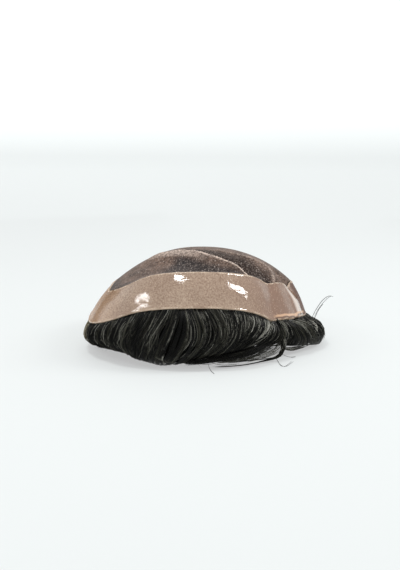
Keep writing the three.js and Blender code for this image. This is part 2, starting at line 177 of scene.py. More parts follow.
WALL_LAMP = {"left": 0.9, "height": 2.6, "distance": 1.2, "size": 2.4, "power": 34.0, "tilt": 65}
bpy.ops.object.light_add(
    type="AREA",
    location=(-WALL_LAMP["left"], WALL_LAMP["distance"], WALL_LAMP["height"]),
    rotation=(math.radians(WALL_LAMP["tilt"]), 0, 0),
)
wall_light = bpy.context.object
wall_light.name = "lamp_wall"
wall_light.data.size = WALL_LAMP["size"]
wall_light.data.energy = WALL_LAMP["power"]

FLAGS = {
    "flag_right": {"turn": 157, "rise": 2, "size": 0.42},
    "flag_left": {"turn": -151, "rise": 2, "size": 0.62},
}
FLAG_DISTANCE = 0.9
cards = []
for name, flag in FLAGS.items():
    place = LOOKED_AT + direction(flag["turn"], flag["rise"]) * FLAG_DISTANCE
    facing = (LOOKED_AT - place).to_track_quat("Z", "Y").to_euler()
    deselect()
    bpy.ops.mesh.primitive_plane_add(size=flag["size"], location=place, rotation=facing)
    card = bpy.context.object
    card.name = name
    card.visible_camera = False
    card.visible_diffuse = False
    card.visible_shadow = False
    cards.append(card)
print("lamps:", list(LAMPS), "dark cards:", list(FLAGS))

# %% [markdown]
# ## Effects that several finishes share
# Cloth, film and hair all vary a little from place to place. Such an effect is built once as a
# node group with named inputs, and each material sets its own scale and strength. Speckle is small
# dots, as of knots or dust. Mottle is a slow drift of tone.

# %% Build the shared effects


def add_node(tree, kind, **settings):
    node = tree.nodes.new(kind)
    for key, value in settings.items():
        setattr(node, key, value)
    return node


def new_group(name, inputs, outputs):
    """A node group with its sockets, and its own first and last node."""
    group = bpy.data.node_groups.new(name, "ShaderNodeTree")
    for socket, kind, value in inputs:
        made = group.interface.new_socket(socket, in_out="INPUT", socket_type=kind)
        if value is not None:
            made.default_value = value
    for socket, kind in outputs:
        group.interface.new_socket(socket, in_out="OUTPUT", socket_type=kind)
    return group, add_node(group, "NodeGroupInput"), add_node(group, "NodeGroupOutput")


def math_node(tree, operation, *values, clamp=False):
    """A Math node whose inputs are sockets or plain numbers."""
    node = add_node(tree, "ShaderNodeMath", operation=operation, use_clamp=clamp)
    for socket, value in zip(node.inputs, values):
        if isinstance(value, (int, float)):
            socket.default_value = value
        else:
            tree.links.new(value, socket)
    return node.outputs[0]


def mix_colour(tree, share, low, high, blend="MIX"):
    """A colour between low and high, which are sockets or plain colours."""
    node = add_node(tree, "ShaderNodeMix", data_type="RGBA", blend_type=blend)
    for socket, value in ((node.inputs[0], share), (node.inputs[6], low), (node.inputs[7], high)):
        if isinstance(value, (int, float)):
            socket.default_value = value
        elif isinstance(value, tuple):
            socket.default_value = (*value, 1)
        else:
            tree.links.new(value, socket)
    return node.outputs[2]


FLOAT, VECTOR = "NodeSocketFloat", "NodeSocketVector"

speckle_group, start, end = new_group(
    "speckle",
    [("Vector", VECTOR, None), ("Scale", FLOAT, 900.0), ("Share", FLOAT, 0.2), ("Size", FLOAT, 0.35)],
    [("Mask", FLOAT)],
)
cells = add_node(speckle_group, "ShaderNodeTexVoronoi")
speckle_group.links.new(start.outputs["Vector"], cells.inputs["Vector"])
speckle_group.links.new(start.outputs["Scale"], cells.inputs["Scale"])
lot = add_node(speckle_group, "ShaderNodeSeparateColor")
speckle_group.links.new(cells.outputs["Color"], lot.inputs[0])
chosen = math_node(speckle_group, "LESS_THAN", lot.outputs[0], start.outputs["Share"])
core = math_node(speckle_group, "DIVIDE", cells.outputs["Distance"], start.outputs["Size"])
dot = math_node(speckle_group, "SUBTRACT", 1.0, core, clamp=True)
speckle_group.links.new(math_node(speckle_group, "MULTIPLY", chosen, dot), end.inputs["Mask"])

mottle_group, start, end = new_group(
    "mottle",
    [("Vector", VECTOR, None), ("Scale", FLOAT, 60.0), ("Contrast", FLOAT, 2.0)],
    [("Value", FLOAT)],
)
cloud = add_node(mottle_group, "ShaderNodeTexNoise")
cloud.inputs["Detail"].default_value = 4.0
mottle_group.links.new(start.outputs["Vector"], cloud.inputs["Vector"])
mottle_group.links.new(start.outputs["Scale"], cloud.inputs["Scale"])
centred = math_node(mottle_group, "SUBTRACT", cloud.outputs["Fac"], 0.5)
spread = math_node(mottle_group, "MULTIPLY", centred, start.outputs["Contrast"])
mottle_group.links.new(math_node(mottle_group, "ADD", spread, 0.5, clamp=True), end.inputs["Value"])


def effect(tree, group, output, vector, **values):
    """Places a shared effect in a material and returns one of its outputs."""
    node = add_node(tree, "ShaderNodeGroup", node_tree=group)
    tree.links.new(vector, node.inputs["Vector"])
    for key, value in values.items():
        node.inputs[key].default_value = value
    return node.outputs[output]


def new_material(name):
    """A material with its tree, its shader and its Object coordinates."""
    material = bpy.data.materials.new(name)
    material.use_nodes = True
    tree = material.node_tree
    shader = tree.nodes["Principled BSDF"]
    return material, tree, shader, add_node(tree, "ShaderNodeTexCoord").outputs["Object"]


def reading(tree, name):
    """The value of a piece's own attribute."""
    return add_node(tree, "ShaderNodeAttribute", attribute_name=name).outputs["Fac"]


def add_bump(tree, shader, height, distance, strength=1.0):
    """Feeds a height, in distance metres from 0 to 1, to the shader's normal."""
    bump = add_node(tree, "ShaderNodeBump")
    bump.inputs["Distance"].default_value = distance
    bump.inputs["Strength"].default_value = strength
    tree.links.new(height, bump.inputs["Height"])
    tree.links.new(bump.outputs["Normal"], shader.inputs["Normal"])


def linear(red, green, blue):
    """A colour as seen on a screen, 0 to 255, as the linear values that a shader takes."""
    shares = [c / 255 for c in (red, green, blue)]
    return tuple(c / 12.92 if c < 0.04045 else ((c + 0.055) / 1.055) ** 2.4 for c in shares)


def tinted(tree, colour, layers):
    """Lays screen colours over a colour, each where its mask says and as strongly as its share."""
    for mask, share, tint in layers:
        strength = math_node(tree, "MULTIPLY", mask, share)
        colour = mix_colour(tree, strength, colour, linear(*tint))
    return colour


def set_values(node, values):
    """Sets a node's inputs, by name, to plain values."""
    for key, value in values.items():
        node.inputs[key].default_value = value


def separate(tree, vector):
    """The x, y and z of a vector."""
    parts = add_node(tree, "ShaderNodeSeparateXYZ")
    tree.links.new(vector, parts.inputs[0])
    return parts.outputs


# Painted light: the sheet glows a little to lift the shadows on it, and its colour is painted paler up the
# wall.
SHEET_PAINTED_GLOW = 0.46
floor_finish, tree, shader, where = new_material("pale_sheet")
painted_light_up_wall = math_node(tree, "MULTIPLY_ADD", separate(tree, where)[2], 4.0, -0.1, clamp=True)
sheet = mix_colour(tree, painted_light_up_wall, linear(152, 157, 156), linear(226, 232, 231))
tree.links.new(sheet, shader.inputs["Base Color"])
set_values(shader, {"Emission Color": (1, 1, 1, 1), "Emission Strength": SHEET_PAINTED_GLOW})
set_values(shader, {"Roughness": 0.8, "Specular IOR Level": 0.1})
floor.data.materials.append(floor_finish)

card_finish, tree, shader, where = new_material("dark_card")
set_values(shader, {"Base Color": (*linear(40, 36, 34), 1), "Roughness": 0.9})
for card in cards:
    card.data.materials.append(card_finish)
print("effects:", [group.name for group in bpy.data.node_groups])

# %% [markdown]
# ## Where the base's edges run
# The cap's own axis is the pole where the crown's columns of faces meet. Round that axis, the band
# has a lower edge, the rim, and an upper edge, the seam. Both are found on the solid by the way its
# narrow end faces point, and kept as a height and a distance from the axis for every angle. The
# stitches and the hair's roots follow them.

# %% Find the axis, the rim and the seam
ANGLES = np.arange(0, 360, 0.5)


def select_only(obj):
    deselect()
    obj.select_set(True)
    bpy.context.view_layer.objects.active = obj


def copy_of_node(node, name):
    """A new object with a copy of a solid's mesh, its loose triangles joined."""
    obj = bpy.data.objects.new(name, frame["nodes"][node].data.copy())
    obj.data.name = name
    obj.data.materials.clear()
    bpy.context.scene.collection.objects.link(obj)
    select_only(obj)
    bpy.ops.object.mode_set(mode="EDIT")
    bpy.ops.mesh.select_all(action="SELECT")
    bpy.ops.mesh.remove_doubles(threshold=0.01 * MM)
    bpy.ops.object.mode_set(mode="OBJECT")
    return obj


def vertices_of(obj):
    places = np.empty(len(obj.data.vertices) * 3, np.float32)
    obj.data.vertices.foreach_get("co", places)
    return places.reshape(-1, 3).astype(float)


def tree_of(obj):
    """A search tree over a mesh, for rays and nearest points."""
    return BVHTree.FromPolygons(
        [v.co for v in obj.data.vertices], [list(p.vertices) for p in obj.data.polygons]
    )


crown = copy_of_node("mesh_crown", "crown_mesh_fabric")
band = copy_of_node("perimeter_band", "band_film")

meetings = np.zeros(len(crown.data.vertices), int)
for edge in crown.data.edges:
    for vertex in edge.vertices:
        meetings[vertex] += 1
pole = crown.data.vertices[int(np.argmax(meetings))].co.copy()


def angle_of(points):
    """Degrees round the cap's axis from the front, positive to the right."""
    return np.degrees(np.arctan2(points[..., 0] - pole.x, -(points[..., 1] - pole.y)))


def reach_of(points):
    return np.hypot(points[..., 0] - pole.x, points[..., 1] - pole.y)


def at(angle, reach, height):
    """Points from their angle, their distance from the axis and their height."""
    turn = np.radians(angle)
    return np.stack([pole.x + reach * np.sin(turn), pole.y - reach * np.cos(turn), height], axis=-1)


def edge_line(obj, lower):
    """Reach and height of the band's lower or upper edge at each of ANGLES."""
    found = {}
    for face in obj.data.polygons:
        outward = Vector((face.center.x - pole.x, face.center.y - pole.y, 0)).normalized()
        down, out = -face.normal.z, face.normal.dot(outward)
        if (down > 0.5 and out > 0.15) if lower else (down < -0.5 and out < -0.15):
            for vertex in face.vertices:
                found[vertex] = tuple(obj.data.vertices[vertex].co)
    points = np.array(list(found.values()))
    angle = angle_of(points) % 360
    order = np.argsort(angle)
    reach = np.interp(ANGLES, angle[order], reach_of(points)[order], period=360)
    height = np.interp(ANGLES, angle[order], points[order, 2], period=360)
    return reach, height


rim_reach, rim_height = edge_line(band, lower=True)
seam_reach, seam_height = edge_line(band, lower=False)


def round_line(values, angle):
    """A line kept at each of ANGLES, read at any angle."""
    return np.interp(np.asarray(angle) % 360, ANGLES, values, period=360)


print("pole at", [round(v / MM, 2) for v in pole])
print("rim height at the front", round(float(round_line(rim_height, 0)) / MM, 2), "mm")
print("seam height at the front", round(float(round_line(seam_height, 0)) / MM, 2), "mm")

# %% [markdown]
# ## The mesh crown
# The crown is a fine knitted net, stretched into a dome and finished on the scalp side, so it looks
# like dull grey-brown cloth with pale specks where knots show. Someone has pressed a fold into it.
# A cloth simulation could fold it anew each time, but this one fold has a known place. So the
# solid's dome is smoothed by subdivision, and its crest is then pulled up into a crisp line by
# moving points near it.

# %% Shape the crown
HALF_WIDTH = 76.5 * MM
FRONT_LENGTH = 90 * MM
# Each row of a line over the crown: its place across, as a share of the half width, its place
# forward, as a share of the front's length, and how strong the fold is there.
CREST = [
    (-0.5, 0.12, 0.0),
    (-0.36, 0.18, 0.5),
    (-0.2, 0.25, 0.9),
    (0.0, 0.325, 1.0),
    (0.19, 0.445, 1.0),
    (0.37, 0.55, 1.0),
    (0.52, 0.61, 0.9),
    (0.66, 0.65, 0.5),
]
SHOULDER = [
    (0.1, 0.0, 0.0),
    (0.32, 0.1, 0.6),
    (0.47, 0.2, 0.9),
    (0.56, 0.235, 1.0),
    (0.65, 0.225, 1.0),
    (0.71, 0.26, 1.0),
    (0.73, 0.33, 0.9),
    (0.74, 0.4, 0.6),
]
CREST_RISE = 2.4 * MM
CREST_HALF = 2.4 * MM
CREST_FINE = 9 * MM
VALLEY_DROP = 3.4 * MM
VALLEY_AWAY = 6.0 * MM
SCOOP_DROP = 1.8 * MM
SCOOP_AWAY = 9.0 * MM
SHOULDER_RISE = 1.6 * MM
SHOULDER_HALF = 1.8 * MM
TUCK = {"angle": 76.0, "spread": 5.0, "drop": 3.8 * MM}
TUCK_FADE = 9.0 * MM
QUAD_LIMIT = math.radians(50)
SMOOTH_LIMIT = math.radians(50)
LINE_POINTS = 160
TINY = 1e-9


def to_quads(obj):
    select_only(obj)
    bpy.ops.object.mode_set(mode="EDIT")
    bpy.ops.mesh.select_all(action="SELECT")
    bpy.ops.mesh.tris_convert_to_quads(face_threshold=QUAD_LIMIT, shape_threshold=QUAD_LIMIT)
    bpy.ops.object.mode_set(mode="OBJECT")


def subdivide(obj, levels):
    select_only(obj)
    smoother = obj.modifiers.new("smooth_form", "SUBSURF")
    smoother.levels = levels
    smoother.render_levels = levels
    bpy.ops.object.modifier_apply(modifier=smoother.name)
    bpy.ops.object.shade_smooth_by_angle(angle=SMOOTH_LIMIT)


def eased(rows, count):
    """A smooth line of count points through given rows, by Catmull and Rom's rule."""
    rows = np.array([rows[0], *rows, rows[-1]], float)
    spans = len(rows) - 3
    steps = np.linspace(0, spans - TINY, count)
    i = steps.astype(int)
    t = (steps - i)[:, None]
    a, b, c, d = rows[i], rows[i + 1], rows[i + 2], rows[i + 3]
    return 0.5 * (2 * b + (c - a) * t + (2 * a - 5 * b + 4 * c - d) * t**2 + (3 * b - a - 3 * c + d) * t**3)


def plan_line(rows):
    """A table's line over the crown, seen from above: x, y and strength of its points."""
    places = [
        (pole.x + across * HALF_WIDTH, pole.y - forward * FRONT_LENGTH, strength)
        for across, forward, strength in rows
    ]
    return eased(places, LINE_POINTS)


def sides_of(points, line):
    """For each point: its signed distance behind a line in plan, and the line's strength there."""
    run = np.gradient(line[:, :2], axis=0)
    run /= np.linalg.norm(run, axis=1)[:, None]
    gaps = points[:, None, :2] - line[None, :, :2]
    near = np.argmin((gaps**2).sum(-1), axis=1)
    gap = gaps[np.arange(len(points)), near]
    behind = run[near, 0] * gap[:, 1] - run[near, 1] * gap[:, 0]
    return np.where(behind >= 0, 1, -1) * np.linalg.norm(gap, axis=1), line[near, 2]


def tuck_at(angle):
    """How far the seam is pulled down at an angle, where the band has a fold."""
    return TUCK["drop"] * np.exp(-(((angle - TUCK["angle"]) / TUCK["spread"]) ** 2))


def smooth_step(x):
    x = np.clip(x, 0, 1)
    return x * x * (3 - 2 * x)


def put_back(obj, points):
    obj.data.vertices.foreach_set("co", points.astype(np.float32).ravel())
    obj.data.update()


def keep_value(obj, name, values):
    """Keeps one number for each point of a mesh, for its material to read."""
    layer = obj.data.attributes.new(name, "FLOAT", "POINT")
    layer.data.foreach_set("value", np.asarray(values, np.float32))


to_quads(crown)
subdivide(crown, 2)
crest_line = plan_line(CREST)
behind, strength = sides_of(vertices_of(crown), crest_line)
select_only(crown)
bpy.ops.object.mode_set(mode="EDIT")
bpy.ops.mesh.select_mode(type="FACE")
bpy.ops.mesh.select_all(action="DESELECT")
bpy.ops.object.mode_set(mode="OBJECT")
near_crest = (np.abs(behind) < CREST_FINE) & (strength > 0.2)
for face in crown.data.polygons:
    face.select = all(near_crest[v] for v in face.vertices)
bpy.ops.object.mode_set(mode="EDIT")
bpy.ops.mesh.subdivide(number_cuts=1, smoothness=0)
bpy.ops.object.mode_set(mode="OBJECT")
points = vertices_of(crown)
behind, strength = sides_of(points, crest_line)
beside, side_strength = sides_of(points, plan_line(SHOULDER))
crown_angle = angle_of(points)
seam_gap = round_line(seam_reach, crown_angle) - reach_of(points)
inside = np.clip((seam_gap - 1.5 * MM) / (6 * MM), 0, 1)
ridge = CREST_RISE * np.exp(-(((behind + 0.3 * CREST_HALF) / CREST_HALF) ** 2))
valley = VALLEY_DROP * np.exp(-(((behind - VALLEY_AWAY) / VALLEY_AWAY) ** 2)) * (behind > 0)
shoulder = SHOULDER_RISE * side_strength * np.exp(-((beside / SHOULDER_HALF) ** 2))
scoop = SCOOP_DROP * np.exp(-(((behind + SCOOP_AWAY) / (0.6 * SCOOP_AWAY)) ** 2))
points[:, 2] += inside * (strength * (ridge - valley - scoop) + shoulder)
points[:, 2] -= tuck_at(crown_angle) * np.exp(-((np.maximum(seam_gap, 0) / TUCK_FADE) ** 2))
put_back(crown, points)
# Masks for painted shade on the crown: the dent before the crest and the valley behind it.
ahead = -behind
middle = smooth_step((crown_angle + 26) / 16)
near_seam = smooth_step((10 * MM - seam_gap) / (6 * MM))
in_dent = smooth_step((ahead - 2.4 * MM) / (4.5 * MM))
dent_shade = in_dent * (middle + 0.7 * (1 - middle) * near_seam)
before_shoulder = smooth_step(-beside / (2.5 * MM))
valley_shade_mask = 1 - smooth_step((behind - 20 * MM) / (13 * MM))
valley_shade = valley_shade_mask * before_shoulder * smooth_step(strength * 2)
keep_value(crown, "dent_shade", dent_shade)
keep_value(crown, "valley_shade", valley_shade)
keep_value(crown, "behind_crest", behind / MM)
keep_value(crown, "crest_strength", strength)
keep_value(crown, "beside_shoulder", beside / MM)
keep_value(crown, "shoulder_strength", side_strength)
print("crown faces:", len(crown.data.polygons))

# %% [markdown]
# The net's finish: knots and holes too small to count from here are a speckle, dust and light make
# slow clouds, and the cloth is darker and bluer in the dent before the fold, partly because it lies
# thin over dark hair and partly as painted shade in the hollow. Behind the fold the valley is
# painted dark brown as shade, and the fold's crest and shoulder carry pale lines, partly the
# crest's bead of thread and partly a painted highlight. Cloth has no mirror, so it is rough, with
# a sheen that pales its rim.

# %% Finish the crown
crown_finish, tree, shader, where = new_material("knitted_net")
behind_crest = reading(tree, "behind_crest")
crest_strength = reading(tree, "crest_strength")


def stripe(tree, gap, middle, half, blur):
    """1 within half of the middle of a signed distance, fading out over the blur."""
    away = math_node(tree, "ABSOLUTE", math_node(tree, "SUBTRACT", gap, middle))
    return math_node(tree, "MULTIPLY_ADD", away, -1 / blur, 1 + half / blur, clamp=True)


clouds = effect(tree, mottle_group, "Value", where, Scale=90.0, Contrast=2.8)
grain = effect(tree, mottle_group, "Value", where, Scale=800.0, Contrast=5.0)
knots = effect(tree, speckle_group, "Mask", where, Scale=760.0, Share=0.22, Size=0.45)
net = effect(tree, speckle_group, "Mask", where, Scale=1000.0, Share=0.5, Size=0.6)
past_crest = math_node(tree, "MULTIPLY_ADD", behind_crest, 1.2, -0.3, clamp=True)
# Painted shade in the valley behind the fold.
valley_shade_mask = math_node(tree, "MULTIPLY", reading(tree, "valley_shade"), past_crest)
# Pale lines along the fold's crest and the shoulder: partly the crest's bead of thread, partly a painted
# highlight.
near_top = math_node(tree, "MULTIPLY_ADD", separate(tree, where)[0], -60.0, 0.4, clamp=True)
broad = math_node(tree, "MULTIPLY", stripe(tree, behind_crest, -1.5, 1.2, 1.8), near_top)
crisp = stripe(tree, behind_crest, -0.8, 0.45, 0.8)
on_crest = math_node(tree, "MULTIPLY", math_node(tree, "MAXIMUM", broad, crisp), crest_strength)
by_shoulder = stripe(tree, reading(tree, "beside_shoulder"), 0.0, 0.4, 1.4)
on_shoulder = math_node(tree, "MULTIPLY", by_shoulder, reading(tree, "shoulder_strength"))
lines = math_node(tree, "MAXIMUM", on_crest, math_node(tree, "MULTIPLY", on_shoulder, 0.55))
cloth = tinted(
    tree,
    mix_colour(tree, clouds, linear(84, 69, 61), linear(130, 109, 97)),
    [
        # Darker and bluer in the dent: partly the thin net over dark hair, partly painted shade.
        (reading(tree, "dent_shade"), 0.85, (50, 49, 51)),
        # Painted shade behind the fold.
        (valley_shade_mask, 0.92, (36, 25, 21)),
        # Painted highlight, with the crest's bead, along the crest and the shoulder.
        (lines, 0.85, (214, 194, 180)),
        (grain, 0.62, (38, 32, 30)),
        (net, 0.34, (196, 178, 166)),
        (knots, 0.6, (216, 202, 192)),
    ],
)
tree.links.new(cloth, shader.inputs["Base Color"])
set_values(shader, {"Roughness": 0.8, "Specular IOR Level": 0.1})
set_values(shader, {"Sheen Weight": 0.05, "Sheen Roughness": 0.3})
relief = math_node(tree, "ADD", net, math_node(tree, "MULTIPLY", grain, 0.8))
add_bump(tree, shader, relief, 0.07 * MM, 0.6)
crown.data.materials.append(crown_finish)
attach(crown, "root")
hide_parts("mesh_crown")
print("crown dressed")

# %% [markdown]
# ## The band
# The band is a strip of clear polyurethane, cast over gauze, that the wearer's tape sticks to. It is
# glossy and slightly wavy, its cut edges look pale, and it is creased at the front right where the
# hair below is pressed in. The solid has the right form, so its copy is subdivided, with the
# crease kept sharp by edge creases along its one upright column of edges.

# %% Shape the band
CORNER_ANGLE = 48.0
CORNER_NEAR = 5.5
EDGE_SHARP = 0.75
CORNER_SHARP = 0.7
FOLD_AT_SEAM, FOLD_AT_RIM = 72.5, 74.5
FOLD_SPREAD = 3.4
FOLD_RISE = 1.3 * MM


def crease_edges(obj, share_of):
    """Sets each edge's crease to what share_of says of the two faces and two ends of the edge."""
    layer = obj.data.attributes.new("crease_edge", "FLOAT", "EDGE")
    beside = {}
    for face in obj.data.polygons:
        for key in face.edge_keys:
            beside.setdefault(key, []).append(face.normal)
    for edge in obj.data.edges:
        ends = [obj.data.vertices[v].co for v in edge.vertices]
        layer.data[edge.index].value = share_of(beside[tuple(sorted(edge.vertices))], ends)


def band_crease(normals, ends):
    """Sharp along the strip's four edges, and down the corner's column."""
    if len(normals) == 2 and normals[0].dot(normals[1]) < 0.45:
        return EDGE_SHARP
    angles = [float(angle_of(np.array(end))) for end in ends]
    upright = abs(ends[0].z - ends[1].z) > 2 * MM and abs(angles[0] - angles[1]) < 6
    if upright and all(abs(angle - CORNER_ANGLE) < CORNER_NEAR for angle in angles):
        return CORNER_SHARP
    return 0.0


to_quads(band)
crease_edges(band, band_crease)
subdivide(band, 2)


def nearest_gap(points, line):
    """Distance of each point from a line given as many close points."""
    finder = KDTree(len(line))
    for i, spot in enumerate(line):
        finder.insert(spot, i)
    finder.balance()
    return np.array([finder.find(spot)[2] for spot in points])


points = vertices_of(band)
rim_line = at(ANGLES, rim_reach, rim_height)
seam_line = at(ANGLES, seam_reach, seam_height)
to_rim = nearest_gap(points, rim_line)
to_seam = nearest_gap(points, seam_line)
band_angle = angle_of(points)
up_band = to_rim / (to_rim + to_seam)
off_fold = (band_angle - FOLD_AT_RIM + (FOLD_AT_RIM - FOLD_AT_SEAM) * up_band) / FOLD_SPREAD
fold_rise = FOLD_RISE * np.exp(-(off_fold**2)) * np.sin(math.pi * np.clip(up_band, 0, 1)) ** 0.5
outward = np.array([v.normal for v in band.data.vertices]) * np.array([1, 1, 0.5])
points += outward * fold_rise[:, None] * (outward @ np.array([1, 0, 0.2]) > 0)[:, None]
points[:, 2] -= tuck_at(band_angle) * smooth_step((up_band - 0.35) / 0.65)
put_back(band, points)
seam_height -= tuck_at(angle_of(seam_line))
seam_line = at(ANGLES, seam_reach, seam_height)
keep_value(band, "to_rim", to_rim / MM)
keep_value(band, "to_seam", to_seam / MM)
before_back = np.clip(3.4 - 0.02 * np.abs(band_angle), 0, 1)
keep_value(band, "left_side", np.clip(-0.8 - 0.03 * band_angle, 0, 1) * before_back)
# Where the band turns right towards and past the crease: a pinker tint with painted shade.
keep_value(band, "right_tint_and_shade", np.clip(0.035 * band_angle - 0.7, 0, 1) * before_back)
keep_value(band, "past_fold", np.clip(0.4 * band_angle - 31.6, 0, 1) * before_back)
keep_value(band, "beside_hem", np.clip(5.0 - 0.25 * np.abs(band_angle - 66), 0, 1))
keep_value(band, "off_fold", off_fold)
band_width = float(np.median(to_rim + to_seam)) / MM
print("band faces:", len(band.data.polygons), "width", round(band_width, 1), "mm")

# %% [markdown]
# Film shows its gauze as a fine speckle and its thickness as a warm tint. Towards the crease at the
# right and past it, it is pinker and painted darker as shade where it turns away. It is more orange
# where it turns away at the left. A pale painted highlight runs down the fold, and a dark line along
# the hem is painted shade under the band's lip. The waviness is a bump, deep enough to break each
# lamp's mirror image into ragged spots.

# %% Finish the band
band_finish, tree, shader, where = new_material("clear_film")
clouds = effect(tree, mottle_group, "Value", where, Scale=45.0, Contrast=2.4)
grain = effect(tree, mottle_group, "Value", where, Scale=950.0, Contrast=4.0)
dust = effect(tree, speckle_group, "Mask", where, Scale=600.0, Share=0.08, Size=0.4)
bubbles = effect(tree, speckle_group, "Mask", where, Scale=800.0, Share=0.4, Size=0.5)
rim_gap = reading(tree, "to_rim")
seam_gap = reading(tree, "to_seam")
left_side = reading(tree, "left_side")
past_fold = reading(tree, "past_fold")
fold_gap = math_node(tree, "ABSOLUTE", reading(tree, "off_fold"))
# The pale stripe down the fold is a painted highlight.
fold_painted_highlight = math_node(tree, "MULTIPLY_ADD", fold_gap, -1.6, 2.0, clamp=True)
film = tinted(
    tree,
    mix_colour(tree, clouds, linear(154, 132, 114), linear(177, 156, 136)),
    [
        (left_side, 0.9, (192, 150, 112)),
        # Pinker, and darker as painted shade, where the band turns away at the right.
        (reading(tree, "right_tint_and_shade"), 0.8, (122, 88, 70)),
        (grain, 0.6, (120, 94, 76)),
        (bubbles, 0.42, (206, 182, 158)),
        (dust, 0.6, (104, 76, 60)),
        # Painted highlight down the fold.
        (fold_painted_highlight, 0.85, (220, 208, 198)),
        (past_fold, 1.0, (92, 64, 50)),
    ],
)
# Each of the hem's lines: its middle, half width and blur in millimetres, its share and its colour.
HEM_LINES = [
    (3.0, 0.55, 0.5, 0.8, (208, 168, 134)),
    # The middle line is the inner layer under the band's lip, darkened as painted shade.
    (1.8, 0.35, 0.5, 0.7, (92, 64, 46)),
    (0.6, 0.35, 0.5, 0.7, (168, 136, 106)),
]
beside_hem = reading(tree, "beside_hem")
for middle, half, blur, share, tint in HEM_LINES:
    hem_line_and_shade = math_node(tree, "MULTIPLY", stripe(tree, rim_gap, middle, half, blur), beside_hem)
    film = tinted(tree, film, [(hem_line_and_shade, share, tint)])
nearer = math_node(tree, "MINIMUM", rim_gap, seam_gap)
by_edge = math_node(tree, "MULTIPLY_ADD", nearer, -0.8, 1.2, clamp=True)
film = tinted(tree, film, [(by_edge, 0.55, (214, 192, 168))])
tree.links.new(film, shader.inputs["Base Color"])
dulled = math_node(tree, "MAXIMUM", past_fold, math_node(tree, "MULTIPLY", left_side, 0.45))
roughness = math_node(tree, "MULTIPLY_ADD", dulled, 0.45, 0.055)
tree.links.new(roughness, shader.inputs["Roughness"])
set_values(shader, {"Specular IOR Level": 0.5})
waves = effect(tree, mottle_group, "Value", where, Scale=130.0, Contrast=1.5)
ripples = effect(tree, mottle_group, "Value", where, Scale=460.0, Contrast=1.5)
relief = math_node(tree, "ADD", waves, math_node(tree, "MULTIPLY", ripples, 0.16))
add_bump(tree, shader, relief, 0.5 * MM, 0.5)
band.data.materials.append(band_finish)
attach(band, "root")
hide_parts("perimeter_band")
print("band dressed")

# %% [markdown]
# ## The stitches
# Pale thread sews the band to the crown and overcasts the fold's crest, and it dots the rim. Each
# stitch is a bead of thread barely a third of a millimetre high. One bead is modelled and then set
# down along a line, turned to follow it. A line of them is one mesh, because a few hundred objects
# would only slow the file down.

# %% Model one stitch
STITCH_LENGTH = 1.0 * MM
STITCH_WIDTH = 0.5 * MM
STITCH_RISE = 0.34 * MM

deselect()
bpy.ops.mesh.primitive_uv_sphere_add(segments=6, ring_count=4, radius=0.5, location=(0, 0, 0))
stitch = bpy.context.object
stitch.name = "one_stitch"
bpy.ops.object.mode_set(mode="EDIT")
bpy.ops.transform.resize(value=(STITCH_LENGTH, STITCH_WIDTH, 2 * STITCH_RISE))
bpy.ops.object.mode_set(mode="OBJECT")
stitch_points = vertices_of(stitch)
stitch_faces = [list(face.vertices) for face in stitch.data.polygons]
bpy.data.objects.remove(stitch)


def new_mesh(name, points, faces):
    mesh = bpy.data.meshes.new(name)
    mesh.from_pydata([tuple(p) for p in points], [], faces)
    mesh.update()
    obj = bpy.data.objects.new(name, mesh)
    bpy.context.scene.collection.objects.link(obj)
    return obj


def sewn_line(name, line, pitch, ground, scale=1.0):
    """Stitches at every pitch along a line, each seated on the ground mesh below it."""
    steps = np.linalg.norm(np.diff(line, axis=0), axis=1)
    length = np.concatenate([[0], np.cumsum(steps)])
    marks = np.arange(pitch / 2, length[-1], pitch)
    spots = np.stack([np.interp(marks, length, line[:, k]) for k in range(3)], axis=1)
    ahead = np.stack([np.interp(marks + pitch / 4, length, line[:, k]) for k in range(3)], axis=1)
    points, faces = [], []
    for spot, onward in zip(spots, ahead):
        seat, normal, _, _ = ground.find_nearest(Vector(spot))
        along = (Vector(onward) - Vector(spot)).normalized()
        across = normal.cross(along).normalized()
        along = across.cross(normal)
        frame_rows = np.array([along, across, normal]) * scale
        first = len(points) * len(stitch_points)
        points.append(stitch_points @ frame_rows + np.array(seat))
        faces += [[first + corner for corner in face] for face in stitch_faces]
    obj = new_mesh(name, np.concatenate(points), faces)
    select_only(obj)
    bpy.ops.object.shade_smooth()
    return obj


thread_finish, tree, shader, where = new_material("pale_thread")
twist = effect(tree, mottle_group, "Value", where, Scale=900.0, Contrast=2.0)
thread = mix_colour(tree, twist, linear(196, 172, 150), linear(232, 216, 198))
tree.links.new(thread, shader.inputs["Base Color"])
set_values(shader, {"Roughness": 0.6})
add_bump(tree, shader, twist, 0.05 * MM)

# %% [markdown]
# Three lines are sewn. Two run round the band, a little way in from the seam and from the rim. The
# third runs along the fold's crest, which is found by looking straight down on the shaped crown.

# %% Sew the lines
SEAM_PITCH = 1.9 * MM
RIM_PITCH = 1.9 * MM
CREST_PITCH = 1.6 * MM
SEAM_INSET = 0.9 * MM


def closed(line):
    return np.concatenate([line, line[:1]])


def inset_line(away_from_rim):
    """A line on the band, a fixed way in from the rim or, if negative, from the seam."""
    width = np.linalg.norm(seam_line - rim_line, axis=1)[:, None]
    share = away_from_rim / width if away_from_rim > 0 else 1 + away_from_rim / width
    return closed(rim_line + (seam_line - rim_line) * share)


